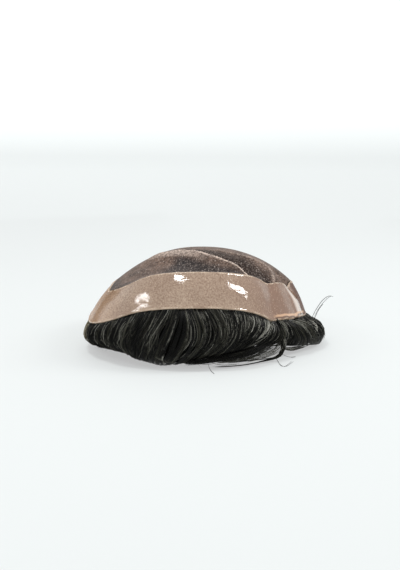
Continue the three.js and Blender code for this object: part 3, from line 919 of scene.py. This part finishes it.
band_ground = tree_of(band)
crown_ground = tree_of(crown)
seam_stitches = sewn_line("seam_stitches", inset_line(-SEAM_INSET), SEAM_PITCH, band_ground)
rim_stitches = sewn_line("rim_stitches", inset_line(SEAM_INSET * 0.8), RIM_PITCH, band_ground, 0.8)
crest_top = []
for x, y, strength in crest_line:
    spot, _, _, _ = crown_ground.ray_cast(Vector((x, y, 0.2)), Vector((0, 0, -1)))
    if strength > 0.3 and spot is not None:
        crest_top.append(tuple(spot))
crest_stitches = sewn_line("crest_stitches", np.array(crest_top), CREST_PITCH, crown_ground, 0.85)
band_slot, crown_slot = "band_polyurethane", "crown_mesh"
stitch_lines = ((seam_stitches, band_slot), (rim_stitches, band_slot), (crest_stitches, crown_slot))
for piece, slot in stitch_lines:
    piece.data.materials.append(thread_finish)
    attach(piece, "root")
print("stitch faces:", sum(len(piece.data.polygons) for piece, _ in stitch_lines))

# %% [markdown]
# ## The hair's body
# Thousands of hairs lie so close that light never reaches the middle of them. That dark middle is
# the solid's own form, remade as an even skin and pulled in a little, so that every bare strand
# lies outside it. Its finish only has to be dark and streaky, because it shows through gaps alone.

# %% Make the dark middle of the hair
SKIN_CELL = 1.7 * MM
SKIN_INSET = 1.3 * MM
SKIN_INSET_AT_RIM = 2.0 * MM
SKIN_CALMED = 6

hair_body = copy_of_node("hair", "hair_underlayer")
select_only(hair_body)
remesh = hair_body.modifiers.new("even_skin", "REMESH")
remesh.mode = "VOXEL"
remesh.voxel_size = SKIN_CELL
bpy.ops.object.modifier_apply(modifier=remesh.name)
calm = hair_body.modifiers.new("calm", "SMOOTH")
calm.factor = 0.5
calm.iterations = SKIN_CALMED
bpy.ops.object.modifier_apply(modifier=calm.name)
bpy.ops.object.shade_smooth()

hair_dark, tree, shader, where = new_material("hair_in_shade")
parts = separate(tree, where)
across = math_node(tree, "SUBTRACT", parts[0], pole.x)
forward = math_node(tree, "SUBTRACT", pole.y, parts[1])
round_turn = math_node(tree, "ARCTAN2", across, forward)
strand_space = add_node(tree, "ShaderNodeCombineXYZ")
tree.links.new(round_turn, strand_space.inputs[0])
tree.links.new(math_node(tree, "MULTIPLY", parts[2], 2.0), strand_space.inputs[1])
streaks = effect(tree, mottle_group, "Value", strand_space.outputs[0], Scale=60.0, Contrast=2.6)
shaded = mix_colour(tree, streaks, linear(3, 3, 2), linear(13, 13, 10))
tree.links.new(shaded, shader.inputs["Base Color"])
set_values(shader, {"Roughness": 0.8, "Specular IOR Level": 0.1})
add_bump(tree, shader, streaks, 0.4 * MM)
hair_body.data.materials.append(hair_dark)
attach(hair_body, "root")
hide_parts("hair")
print("hair body faces:", len(hair_body.data.polygons))

# %% [markdown]
# ## Where the hair lies
# To comb strands over the solid, its outer face is measured once: rays go out from the axis at
# each angle and height, and the face where each leaves the thick wall of hair is kept. The slim
# loose lock in front is thinner than that wall, so it is passed over. The lowest height with a
# wall is the foot that the hair stands on.

# %% Measure the outer face of the hair
RAY_ANGLES = np.arange(0, 360, 2.0)
RAY_HEIGHTS = np.arange(0.4, 40, 0.7) * MM
THINNEST_WALL = 4.5 * MM
LOOSE_TUCKED = 2.5 * MM
LINING_LOWERED = 4.0 * MM
RAY_STEP = 0.02 * MM

node_hair = copy_of_node("hair", "measured_hair")
hair_tree = tree_of(node_hair)
bpy.data.objects.remove(node_hair)


def wall_reach(angle, height):
    """Distance from the axis to the outer face of the outermost thick wall, or nan."""
    way = direction(angle, 0)
    start = Vector((pole.x, pole.y, height))
    found, entered, gone = math.nan, None, 0.0
    while True:
        spot, _, _, gap = hair_tree.ray_cast(start, way)
        if spot is None:
            return found
        gone += gap
        if entered is None:
            entered = gone
        else:
            found = gone if gone - entered > THINNEST_WALL else found
            entered = None
        start = spot + way * RAY_STEP
        gone += RAY_STEP


face_reach = np.array([[wall_reach(angle, height) for height in RAY_HEIGHTS] for angle in RAY_ANGLES])
known = ~np.isnan(face_reach)
foot_height = np.array([RAY_HEIGHTS[row.argmax()] if row.any() else 0 for row in known]) - RAY_HEIGHTS[0]
for row, is_known in zip(face_reach, known):
    row[~is_known] = np.interp(RAY_HEIGHTS[~is_known], RAY_HEIGHTS[is_known], row[is_known])


def calmed(values, times):
    """Averages neighbours round the axis, so that lumps of the solid don't comb the strands."""
    for _ in range(times):
        values = 0.5 * values + 0.25 * (np.roll(values, 1, axis=0) + np.roll(values, -1, axis=0))
    return values


face_reach = calmed(face_reach, 4)
foot_height = calmed(foot_height, 3)
print("wall of hair reaches", round(float(face_reach.max()) / MM, 1), "mm from the axis")


def read_grid(grid, heights, angle, height):
    """A grid kept at RAY_ANGLES and at heights, read at any angles and heights between."""
    a = (np.asarray(angle) % 360) / (RAY_ANGLES[1] - RAY_ANGLES[0])
    h = np.clip((height - heights[0]) / (heights[1] - heights[0]), 0, len(heights) - 1.001)
    i, j = a.astype(int) % len(RAY_ANGLES), h.astype(int)
    k = (i + 1) % len(RAY_ANGLES)
    u, v = a - np.floor(a), h - j
    low = grid[i, j] * (1 - u) + grid[k, j] * u
    high = grid[i, j + 1] * (1 - u) + grid[k, j + 1] * u
    return low * (1 - v) + high * v


def face_at(angle, height):
    """Reach of the hair's outer face at any angles and heights."""
    return read_grid(face_reach, RAY_HEIGHTS, angle, height)


def foot_at(angle):
    return np.interp(np.asarray(angle) % 360, RAY_ANGLES, foot_height, period=360)


# How many millimetres the lowest hair is lifted at each angle.
RAISED = [
    (-60, 0.0), (-42, 0.2), (-34, 2.4), (-24, 4.4), (-15, 3.0), (-8, 0.8), (-2, 0.0), (60, 0.0)
]
RAISED_TO = 22 * MM


def raised(points):
    """Lifts the lowest hair a little where it clears the table, and less the higher it is."""
    lift = np.interp(angle_of(points), *zip(*RAISED)) * MM
    points = points.copy()
    points[..., 2] += lift * (1 - smooth_step(points[..., 2] / RAISED_TO))
    return points


skin = vertices_of(hair_body)
skin_angle, skin_reach = angle_of(skin), reach_of(skin)
under_rim = round_line(rim_height, skin_angle) - skin[:, 2]
inset = SKIN_INSET + (SKIN_INSET_AT_RIM - SKIN_INSET) * smooth_step(1 - under_rim / (7 * MM))
loose = (skin_reach - face_at(skin_angle, skin[:, 2]) > 0.6 * MM) & (under_rim > 8 * MM)
skin -= np.array([v.normal for v in hair_body.data.vertices]) * inset[:, None]
inside = round_line(rim_reach, skin_angle) - skin_reach
over_hollow = smooth_step((inside - 8 * MM) / (8 * MM))
high_up = smooth_step((skin[:, 2] - 20 * MM) / (12 * MM))
skin[:, 2] -= LINING_LOWERED * over_hollow * high_up
tucked_height = np.maximum(skin[:, 2], foot_at(skin_angle) + LOOSE_TUCKED)
tucked = at(skin_angle, face_at(skin_angle, tucked_height) - LOOSE_TUCKED, tucked_height)
skin = np.where(loose[:, None], tucked, skin)
skin[:, 2] = np.maximum(skin[:, 2], 0.1 * MM)
put_back(hair_body, raised(skin))
print("points of the loose lock tucked into the wall:", int(loose.sum()))

# %% [markdown]
# ## One strand, and how hair is combed
# Blender has a hair system, but a part for a shelf has to be a plain mesh. So each strand is a
# closed tube of three sides that comes to a point at both ends, and a few thousand are one mesh,
# written straight from arrays. They are about three times as thick as real hair, and far fewer.

# %% Tubes from arrays
STRAND_POINTS = 12
STRAND_RADIUS = 0.14 * MM
TUBE_SIDES = 3


def unit(vectors):
    """Vectors of length one, and none where there is no length."""
    return vectors / np.maximum(np.linalg.norm(vectors, axis=-1, keepdims=True), TINY)


def strands(name, paths, radii, shades, finish):
    """One mesh of closed three-sided tubes along paths, each an array of points."""
    paths = raised(paths)
    count, steps, _ = paths.shape
    run = unit(np.gradient(paths, axis=1))
    outward = paths - np.array([pole.x, pole.y, 0.02])
    side = unit(np.cross(run, outward))
    out = np.cross(side, run)
    taper = np.sin(np.linspace(0.35, math.pi - 0.5, steps)) ** 0.5
    thick = radii[:, None] * taper[None, :]
    rings = []
    for k in range(TUBE_SIDES):
        turn = 2 * math.pi * k / TUBE_SIDES
        rings.append(paths + thick[..., None] * (math.cos(turn) * out + math.sin(turn) * side))
    body = np.stack(rings, axis=2)[:, 1:-1]
    tips = paths[:, [0, -1]]
    points = np.concatenate([body.reshape(count, -1, 3), tips], axis=1)
    points[..., 2] = np.maximum(points[..., 2], 0.05 * MM)
    ring_count = steps - 2
    faces = []
    for r in range(ring_count - 1):
        for k in range(TUBE_SIDES):
            here, beside = r * TUBE_SIDES + k, r * TUBE_SIDES + (k + 1) % TUBE_SIDES
            faces.append((here, here + TUBE_SIDES, beside))
            faces.append((beside, here + TUBE_SIDES, beside + TUBE_SIDES))
    last = (ring_count - 1) * TUBE_SIDES
    first_tip = ring_count * TUBE_SIDES
    for k in range(TUBE_SIDES):
        following = (k + 1) % TUBE_SIDES
        faces.append((k, following, first_tip))
        faces.append((last + following, last + k, first_tip + 1))
    faces = np.array(faces)[:, ::-1]
    each = points.shape[1]
    index = (faces[None] + np.arange(count)[:, None, None] * each).ravel()
    mesh = bpy.data.meshes.new(name)
    mesh.vertices.add(count * each)
    mesh.vertices.foreach_set("co", points.astype(np.float32).ravel())
    mesh.loops.add(len(index))
    mesh.loops.foreach_set("vertex_index", index.astype(np.int32))
    mesh.polygons.add(len(index) // 3)
    mesh.polygons.foreach_set("loop_start", np.arange(0, len(index), 3, dtype=np.int32))
    mesh.polygons.foreach_set("use_smooth", np.ones(len(index) // 3, bool))
    mesh.update(calc_edges=True)
    obj = bpy.data.objects.new(name, mesh)
    bpy.context.scene.collection.objects.link(obj)
    keep_value(obj, "shade", np.repeat(shades, each))
    obj.data.materials.append(finish)
    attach(obj, "root")
    print(name, "strands:", count, "triangles:", len(mesh.polygons))
# %% [markdown]
# Hair is smooth and a little glossy, so it takes the lamps as thin bright lines. Its colour comes
# from a ramp that each strand's own shade is read on: near black for most, olive and grey for the
# strands that the light catches, which is a painted highlight, and nearly white for a few. At the
# left end the light shines through, and that is painted too: the hair there is tinted olive-brown.

# %% The finish of a strand
HAIR_TONES = [
    (0.0, (4, 4, 3)),
    (0.45, (16, 16, 12)),
    (0.65, (64, 63, 53)),
    (0.8, (138, 137, 126)),
    (1.0, (230, 228, 216)),
]
hair_finish, tree, shader, where = new_material("bare_hair")
tone = add_node(tree, "ShaderNodeValToRGB")
tree.links.new(reading(tree, "shade"), tone.inputs[0])
stops = tone.color_ramp.elements
for position, colour in HAIR_TONES:
    stop = stops.new(position) if 0 < position < 1 else stops[-int(position)]
    stop.color = (*linear(*colour), 1)
# Painted light: the left end is tinted olive-brown where light shines through the hair.
left_end_painted_light = math_node(tree, "MULTIPLY_ADD", separate(tree, where)[0], -140.0, -10.1, clamp=True)
colour = tinted(tree, tone.outputs[0], [(left_end_painted_light, 0.7, (150, 138, 108))])
tree.links.new(colour, shader.inputs["Base Color"])
set_values(shader, {"Roughness": 0.34, "Specular IOR Level": 0.2})

# %% [markdown]
# The curtain is combed in five parts, so that no mesh gets too big. Each row of the table gives an
# angle round the axis, how many millimetres hair swings out sideways halfway down, and how far its
# tip lies from its root. Strands gather in wisps and wisps in locks, as combed hair does, and some
# wisps are painted paler as a painted highlight. A few strands go astray, and some short ones by
# the roots are painted pale, a painted sheen where they catch the light.
# %% Comb the curtain of hair
COMBING = [
    (-180, 0, 10),
    (-150, 0, -16),
    (-120, 0, -20),
    (-90, 0, 2),
    (-60, -1, 4),
    (-40, -2, 5),
    (-25, -2, 0),
    (-16, -3, -7),
    (-11, -4, -12),
    (-6, -5, -16),
    (0, -4, -18),
    (3, 5, -13),
    (9, 9, -13),
    (15, 7, -14),
    (21, 5, -14),
    (26, 2, -16),
    (31, 1, -22),
    (38, 1, -28),
    (44, 1, -30),
    (48, 2, -10),
    (52, 2, 4),
    (60, 0, 14),
    (70, -2, 20),
    (80, -2, 14),
    (92, 0, 16),
    (112, 0, 22),
    (150, 0, 22),
]
LOCK_STEP, WISP_STEP = 4.4, 0.42
LOCK_GATHER, WISP_GATHER = 0.16, 0.6
LOCK_PROUD = 1.0 * MM
TO_FOOT = 0.86
ROOT_ABOVE = 3.0 * MM
ROOT_INSIDE = 0.5 * MM
GREY_THINNER = 0.7
EMERGES = 0.015
SUNK = 0.6 * MM
WAVE = 0.25 * MM
GREY_SHARE = 0.02
LIT_FROM = 0.65
FLARE = [(6, 0.0), (13, 2.2), (22, 3.2), (32, 3.0), (42, 1.2), (48, 0.0)]
SWING, TIP = 1, 2


def combing(column, angle):
    """A column of the table, in metres, at any angle."""
    rows = sorted((row[0] % 360, row[column]) for row in COMBING)
    return np.interp(angle % 360, *zip(*rows), period=360) * MM


def combed(first, last, count, seed, astray=0.0, off=0.0, grey_share=GREY_SHARE, longest=1.0):
    """Paths, radii and shades of strands whose roots lie between two angles.

    Strands that go astray end that far from the others, and lie off the hair's face. The longest
    is a share of the way to the tips.
    """
    lots = np.random.default_rng(seed)
    root = np.sort(lots.uniform(first, last, count))
    lock = np.floor(root / LOCK_STEP).astype(int)
    wisp = np.floor(root / WISP_STEP).astype(int)
    lock_lots = lots.normal(size=(len(np.unique(lock)) + 2, 4))[lock - lock.min()]
    wisp_lots = lots.normal(size=(wisp.max() - wisp.min() + 1, 5))[wisp - wisp.min()]
    own = lots.normal(size=(count, 6))
    lock_middle = (lock + 0.5) * LOCK_STEP
    wisp_middle = (wisp + 0.5) * WISP_STEP
    length = longest * np.clip(1 - np.abs(own[:, 0]) * (0.09 + 0.2 * (astray > 0)), 0.3, 1)
    marks = np.concatenate([[0, EMERGES], np.linspace(0.08, 1, STRAND_POINTS - 2)])
    s = marks[None, :] * length[:, None]
    reach = round_line(rim_reach, root)[:, None]
    sideways = combing(SWING, root)[:, None] * np.sin(math.pi * s) * (1 + 0.25 * lock_lots[:, :1])
    sideways = sideways + (combing(TIP, root) + lock_lots[:, 1] * 2.2 * MM)[:, None] * s**1.6
    sideways += (wisp_lots[:, :1] * 1.9 + own[:, 1:2] * 0.4) * MM * s + astray * own[:, 5:6] * s**1.4
    phase = wisp_lots[:, 1:2] * 0.35 + own[:, 2:3] * 0.1 + lock_lots[:, 2:3]
    sideways += WAVE * (0.3 + s) * np.sin(2 * math.pi * (1.6 * s + phase))
    angle = root[:, None] + np.degrees(sideways / reach)
    angle += (lock_middle - root)[:, None] * LOCK_GATHER * smooth_step(s)
    angle += (wisp_middle - root)[:, None] * WISP_GATHER * smooth_step(2 * s)
    down = np.clip(s / TO_FOOT, 0, 1) ** 0.92
    top = round_line(rim_height, root)[:, None]
    height = top * (1 - down) + (foot_at(angle) + 0.3 * MM) * down
    spread = ((root - lock_middle) / (LOCK_STEP / 2))[:, None]
    proud = LOCK_PROUD * (1 - spread**2) * np.sin(math.pi * np.clip(s, 0, 1)) * (1 + 0.4 * lock_lots[:, 3:4])
    proud += (0.3 + 0.35 * np.abs(own[:, 3:4]) + 0.35 * wisp_lots[:, 2:3]) * MM * smooth_step(5 * s)
    proud += off * np.sin(math.pi * np.clip(s, 0, 1)) ** 0.5
    proud += np.interp(angle, *zip(*FLARE)) * MM * smooth_step((s - 0.45) / 0.4)
    outer = face_at(angle, height) + proud - SUNK
    held = round_line(rim_reach, angle) - ROOT_INSIDE
    out = held + (outer - held) * smooth_step((s - EMERGES / 2) / 0.07)
    tail = np.clip((s - TO_FOOT) / (1 - TO_FOOT), 0, 1)
    out -= tail * (4.5 + 1.5 * wisp_lots[:, 3:4]) * MM
    height = height - tail * (1 - tail) * 1.2 * MM
    paths = at(angle, out, np.maximum(height, STRAND_RADIUS))
    hidden = at(root, reach[:, 0] - 1.8 * MM - ROOT_ABOVE * 0.6, top[:, 0] + ROOT_ABOVE)
    paths[:, 0] = hidden
    shades = np.clip(0.16 + 0.06 * wisp_lots[:, 4] + 0.1 * own[:, 4], 0.02, 0.5)
    # Lit wisps are a painted highlight: their strands are painted paler, as where the light catches them.
    lit = (wisp_lots[:, 4] > LIT_FROM) & (own[:, 5] < 0.8)
    shades[lit] = 0.6 + 0.05 * (wisp_lots[lit, 4] - LIT_FROM) + 0.04 * own[lit, 4]
    grey = lots.uniform(size=count) < grey_share
    shades[grey] = lots.uniform(0.7, 1.0, grey.sum())
    radii = STRAND_RADIUS * (1 + 0.12 * own[:, 3]) * np.where(grey, GREY_THINNER, 1.0)
    return paths, radii, shades


# Each part of the curtain: its name, its first and last angle and its count of strands.
REGIONS = [
    ("hair_front_left", -62, 0, 2600),
    ("hair_front_right", 0, 62, 2800),
    ("hair_right", 62, 135, 1500),
    ("hair_back", 135, 225, 1500),
    ("hair_left", 225, 298, 1500),
]
FLYAWAYS, SHEEN_HAIRS = 1100, 120
SEEDS = {"curtain": 11, "flyaway": 31, "sheen": 32, "wisps": 51, "lock": 61, "strays": 71, "lining": 81}
THINNER = 1.0
for number, (name, first, last, count) in enumerate(REGIONS):
    strands(name, *combed(first, last, int(count * THINNER), SEEDS["curtain"] + number), hair_finish)
fly_paths, fly_radii, fly_shades = combed(
    -100, 100, int(FLYAWAYS * THINNER), SEEDS["flyaway"], astray=5.5 * MM, off=0.8 * MM, grey_share=0.12
)
strands("hair_flyaway", fly_paths, fly_radii * 0.8, fly_shades, hair_finish)
# The short strands by the roots are mostly painted pale: a painted sheen.
sheen_paths, sheen_radii, sheen_shades = combed(
    17, 45, int(SHEEN_HAIRS * THINNER), SEEDS["sheen"], 1.6 * MM, 0.7 * MM, grey_share=0.6, longest=0.4
)
strands("hair_root_sheen", sheen_paths, sheen_radii * 0.9, sheen_shades, hair_finish)

# %% [markdown]
# Some strands catch the eye one by one: a grey wisp by the parting, arcs that cross the others, the
# bright short hairs at the right. Each is a short table row: the angles and heights that it passes,
# how many strands it has, how far they scatter and how pale they are.

# %% Lay the hairs that catch the eye
# Each row: the angles and heights in millimetres that it passes, its count of strands, their
# scatter in millimetres and their shade.
WISPS = [
    ([(0, 38), (-1, 31), (-2, 25), (-4, 18), (-6, 12), (-7, 6)], 8, 0.6, 0.86),
    ([(4, 38), (6, 30), (6, 21), (3, 13), (-3, 4)], 9, 1.8, 0.85),
    ([(9, 38), (11, 30), (10, 20), (6, 11), (0, 4)], 9, 2.2, 0.85),
    ([(14, 38), (17, 29), (17, 20), (13, 11), (6, 4)], 8, 2.2, 0.8),
    ([(22, 37), (24, 28), (20, 18), (18, 10), (13, 4)], 8, 0.7, 1.0),
    ([(24, 37), (23, 32), (21, 23), (19, 15), (16, 7)], 9, 2.0, 0.85),
    ([(31, 35), (28, 29), (25, 24), (22, 16)], 9, 2.2, 0.85),
    ([(37, 31), (34, 25), (30, 18), (25, 12)], 14, 2.4, 0.85),
    ([(43, 30), (41, 25), (36, 20), (31, 16), (27, 12)], 16, 2.2, 0.88),
    ([(-4, 38), (-8, 29), (-10, 21), (-11, 13), (-12, 6)], 14, 3.2, 0.78),
    ([(-9, 36), (-11, 28), (-13, 20), (-13, 12)], 8, 2.0, 0.8),
    ([(-20, 31), (-23, 26), (-24, 20), (-22, 12)], 10, 2.2, 0.8),
    ([(-17, 32), (-19, 24), (-20, 16), (-19, 8)], 6, 1.6, 0.78),
    ([(-33, 24), (-35, 18), (-33, 12), (-30, 7)], 8, 3.0, 0.76),
    ([(50, 28), (52, 23), (53, 18), (57, 11)], 16, 1.8, 0.8),
    ([(60, 24), (66, 21), (70, 15), (77, 8)], 12, 2.0, 0.82),
    ([(64, 24), (72, 20), (77, 14), (81, 7)], 8, 1.8, 0.85),
    ([(87, 19), (81, 17), (77, 13), (77, 8)], 16, 1.3, 0.92),
    ([(-10, 9), (-7, 7), (-4, 5), (-1, 4)], 9, 1.4, 0.78),
    ([(-5, 12), (-6, 8), (-6, 4), (-6, 1)], 9, 0.6, 0.9),
]
WISP_OFF = 1.6 * MM
WISP_RADIUS, LOCK_RADIUS, VEIL_RADIUS, STRAY_RADIUS = 0.085 * MM, 0.13 * MM, 0.1 * MM, 0.12 * MM


def on_face(path, count, scatter, lots):
    """Paths of strands that follow a line of angles and heights over the hair's outer face."""
    line = eased([(angle, height * MM) for angle, height in path], 60)
    known = np.linspace(0, 1, 60)
    begin, end = lots.uniform(0, 0.2, (count, 1)), lots.uniform(0.75, 1, (count, 1))
    s = begin + (end - begin) * np.linspace(0, 1, STRAND_POINTS)[None, :]
    strayed = lots.normal(0, scatter * MM, (count, 2))
    aside = strayed[:, :1] * (0.5 + 0.5 * s) + strayed[:, 1:] * 0.6 * (s - 0.5)
    angle = np.interp(s, known, line[:, 0]) + np.degrees(aside / face_at(path[0][0], 20 * MM))
    height = np.interp(s, known, line[:, 1]) + strayed[:, 1:] * 0.4
    height = np.maximum(height, foot_at(angle) + 0.2 * MM)
    ends = np.sin(math.pi * np.linspace(0, 1, STRAND_POINTS)) ** 0.4
    proud = (WISP_OFF + np.abs(lots.normal(0, 0.4, (count, 1))) * MM) * ends - SUNK
    under_rim = round_line(rim_height, angle) - height
    held = round_line(rim_reach, angle) + 30 * under_rim
    return at(angle, np.minimum(face_at(angle, height), held) + proud, height)


def gathered(name, groups, radius):
    """One mesh of several groups of paths with their shades."""
    paths = np.concatenate([paths for paths, _ in groups])
    shades = np.concatenate([shades for _, shades in groups])
    strands(name, paths, np.full(len(paths), radius), np.clip(shades, 0.02, 1), hair_finish)


lots = np.random.default_rng(SEEDS["wisps"])
gathered("hair_wisps", [
    (on_face(path, count, scatter, lots), lots.normal(shade, 0.06, count))
    for path, count, scatter, shade in WISPS
], WISP_RADIUS)

# %% [markdown]
# ## The loose lock and the thin hair beside it
# One slim lock has slipped out at the creased corner. It drops, turns on the table and runs back to
# the left, and the gap that it leaves is veiled with fine hairs. Both follow lines of their own,
# given by the angle, the distance past the rim, the height and how thick the lock is there.

# %% Loop the loose lock
# Each row: the angle, and in millimetres the distance past the rim, the height and the thickness.
LOOSE_LOCK = [
    (47.5, -1.2, 28.5, 0.8),
    (50.0, 0.8, 23.0, 1.5),
    (51.5, 2.8, 16.0, 1.8),
    (50.8, 3.6, 9.0, 1.6),
    (47.5, 3.0, 3.8, 1.3),
    (42.0, 0.8, 2.0, 0.9),
    (36.0, -0.8, 1.5, 0.5),
]
LOCK_TAILS = [
    [
        (45, 2.0, 2.8, 0.9),
        (37, -0.6, 1.4, 0.5),
        (26, -2.8, 1.1, 0.35),
        (14, -3.9, 1.2, 0.4),
    ],
    [
        (45, 1.8, 3.4, 0.9),
        (37, -0.8, 3.0, 0.5),
        (30, -2.0, 3.4, 0.6),
        (20, -3.0, 3.4, 0.9),
    ],
]
VEILS = [
    [
        (46, 0.6, 14.5, 1.8),
        (38, 0.4, 11.5, 2.4),
        (30, 0.0, 9.2, 3.0),
        (20, -1.3, 7.5, 2.9),
        (11, -2.2, 5.6, 2.6),
        (2, -2.8, 3.6, 2.2),
    ],
    [
        (45, 1.0, 11.0, 2.0),
        (36, 0.2, 8.2, 2.8),
        (27, -1.2, 6.2, 2.8),
        (15, -3.0, 4.8, 1.6),
    ],
    [
        (50, 2.6, 11.0, 1.8),
        (46, 1.5, 7.5, 3.2),
        (39, -0.5, 5.2, 2.6),
        (28, -2.0, 4.0, 2.0),
    ],
    [
        (54, -1.0, 7.5, 1.2),
        (60, 0.0, 4.5, 1.8),
        (68, 1.5, 3.4, 1.8),
        (77, 3.0, 3.0, 1.2),
    ],
]
FLATNESS = 0.7


def bundle(rows, count, lots, shortest):
    """Paths of strands that run beside one another along a line past the rim."""
    angle, out, up, thick = np.array(rows, float).T
    spots = at(angle, round_line(rim_reach, angle) + out * MM, up * MM)
    line = eased(np.column_stack([spots, thick * MM]), 80)
    known = np.linspace(0, 1, 80)
    length = lots.uniform(shortest, 1, (count, 1))
    begin = lots.uniform(0, 1, (count, 1)) * (1 - length)
    s = begin + length * np.linspace(0, 1, STRAND_POINTS)[None, :]
    middle = np.stack([np.interp(s, known, line[:, k]) for k in range(3)], axis=-1)
    run = np.gradient(middle, axis=1)
    side = unit(np.cross(run, [0, 0, 1.0]))
    far = np.sqrt(lots.uniform(0, 1, (count, 1))) * np.interp(s, known, line[:, 3])
    turn = lots.uniform(0, 2 * math.pi, (count, 1)) + lots.normal(0, 1.2, (count, 1)) * s
    rise = unit(np.cross(side, run)) * FLATNESS
    return middle + side * (far * np.cos(turn))[..., None] + rise * (far * np.sin(turn))[..., None]


lots = np.random.default_rng(SEEDS["lock"])
gathered("hair_loose_lock", [
    (bundle(LOOSE_LOCK, 200, lots, 0.8), lots.normal(0.25, 0.18, 200)),
    (bundle(LOOSE_LOCK[:5], 40, lots, 0.5), lots.normal(0.8, 0.08, 40)),
    (bundle(LOCK_TAILS[0], 16, lots, 0.6), lots.normal(0.25, 0.1, 16)),
    (bundle(LOCK_TAILS[1], 16, lots, 0.6), lots.normal(0.25, 0.1, 16)),
], LOCK_RADIUS)
gathered("hair_veil", [
    (bundle(VEILS[0], 230, lots, 0.35), lots.normal(0.25, 0.18, 230)),
    (bundle(VEILS[1], 90, lots, 0.35), lots.normal(0.55, 0.12, 90)),
    (bundle(VEILS[2], 40, lots, 0.3), lots.normal(0.66, 0.1, 40)),
    (bundle(VEILS[3], 50, lots, 0.35), lots.normal(0.66, 0.15, 50)),
], VEIL_RADIUS)

# %% [markdown]
# A few single hairs stand off or lie on the table by themselves. They are drawn point by point, in
# millimetres, because nothing else fixes where they fell.

# %% Drop the stray hairs
STRAYS = [
    [
        (74.0, 0, 13), (75.2, 0, 16), (77.8, 0, 22.5), (81.9, 0, 28.3),
        (85.3, 0, 31.9), (87.6, 0, 33.2), (89.1, 0, 32.6),
    ],
    [(73.4, 0, 14), (74.4, 0, 17.5), (77.1, 0, 23.6), (81.0, 0, 29.6), (84.6, 0, 32.8), (88.0, 0, 33.6)],
    [(75.5, 1, 12), (76.4, 1, 17), (79.0, 1, 23.0), (82.6, 1, 28.0)],
    [(53.0, -28, 3), (58.5, -26.8, 0.5), (63.8, -25.5, 0.3), (68.4, -20.7, 0.3), (74.1, -4.9, 0.3)],
    [(52.0, -22, 3), (55.9, -15.6, 0.6), (61.0, -6.6, 0.3), (66.6, -9.2, 0.3), (70.5, -0.3, 0.3)],
    [
        (52.5, -58, 1.5), (54.4, -64.3, 0.3), (56.9, -75.6, 0.3),
        (59.6, -78.1, 0.3), (61.8, -70.7, 0.3), (63.7, -61.7, 0.3),
    ],
    [(9.0, -70, 1.5), (10.1, -77.0, 0.4), (13.3, -93.5, 0.3), (17.0, -104.0, 0.3)],
    [(54.0, -42, 1.5), (58.7, -47.2, 0.3), (62.8, -50.4, 0.3), (65.4, -48.0, 0.3)],
    [(8.0, -70, 1.0), (12.4, -73.8, 0.4), (18.0, -78.3, 0.3), (23.2, -78.3, 0.3), (30.5, -73.9, 0.3)],
    [(-3.0, -72, 1.0), (2.1, -75.1, 0.3), (9.0, -78.6, 0.3), (14.5, -75.0, 0.3)],
]
STRAY_COPIES = 2


def drawn(line, lots):
    """A path through points in millimetres, a little different each time."""
    spread = eased([np.array(point) * MM for point in line], STRAND_POINTS)
    wander = lots.normal(0, 0.5 * MM, 3) * np.linspace(0, 1, STRAND_POINTS)[:, None]
    return spread + wander * np.array([1, 1, 0.3])


lots = np.random.default_rng(SEEDS["strays"])
stray_paths = np.array([drawn(line, lots) for line in STRAYS for _ in range(STRAY_COPIES)])
gathered("hair_strays", [(stray_paths, lots.normal(0.1, 0.1, len(stray_paths)))], STRAY_RADIUS)

# %% [markdown]
# ## The hair inside the hollow
# Under the base the hair lies along the mesh that it's knotted to, down to the table. The inner
# face is measured from the axis like the outer one, and the strands hang over it in loose waves.

# %% Line the hollow
LINING_COUNT = 900
LINING_POINTS = 10
LINING_TOPS = (18, 50)
LINING_LENGTHS = (25, 50)
INNER_HEIGHTS = np.arange(1.0, 52, 1.5) * MM


def inner_reach(angle, height):
    spot, _, _, gap = hair_tree.ray_cast(Vector((pole.x, pole.y, height)), direction(angle, 0))
    return math.nan if spot is None else gap


inner = np.array([[inner_reach(angle, height) for height in INNER_HEIGHTS] for angle in RAY_ANGLES])
for row in inner:
    missing = np.isnan(row)
    row[missing] = np.interp(INNER_HEIGHTS[missing], INNER_HEIGHTS[~missing], row[~missing])
inner = calmed(inner, 2)

lots = np.random.default_rng(SEEDS["lining"])
count = int(LINING_COUNT * THINNER)
root = lots.uniform(0, 360, (count, 1))
s = np.linspace(0, 1, LINING_POINTS)[None, :]
top = lots.uniform(*LINING_TOPS, (count, 1)) * MM
length = lots.uniform(*LINING_LENGTHS, (count, 1)) * MM
height = top + (np.maximum(foot_at(root) + 0.6 * MM, top - length) - top) * s
drift = lots.normal(6, 8, (count, 1)) * s
angle = root + drift + 2.0 * np.sin(2 * math.pi * (s + lots.uniform(0, 1, (count, 1))))
clear = (0.3 + 0.6 * lots.uniform(0, 1, (count, 1))) * MM * np.sin(math.pi * s) ** 0.5
reach = read_grid(inner, INNER_HEIGHTS, angle, height) - clear + 0.3 * MM
gathered("hair_lining", [(at(angle, reach, height), lots.normal(0.35, 0.25, count))], STRAND_RADIUS)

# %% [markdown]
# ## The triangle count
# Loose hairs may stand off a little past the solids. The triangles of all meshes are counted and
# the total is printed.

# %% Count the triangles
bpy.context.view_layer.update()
total = 0
for obj in bpy.data.objects:
    if obj.type == "MESH":
        total += len(obj.data.loops) - 2 * len(obj.data.polygons)
print("triangles in all", total)
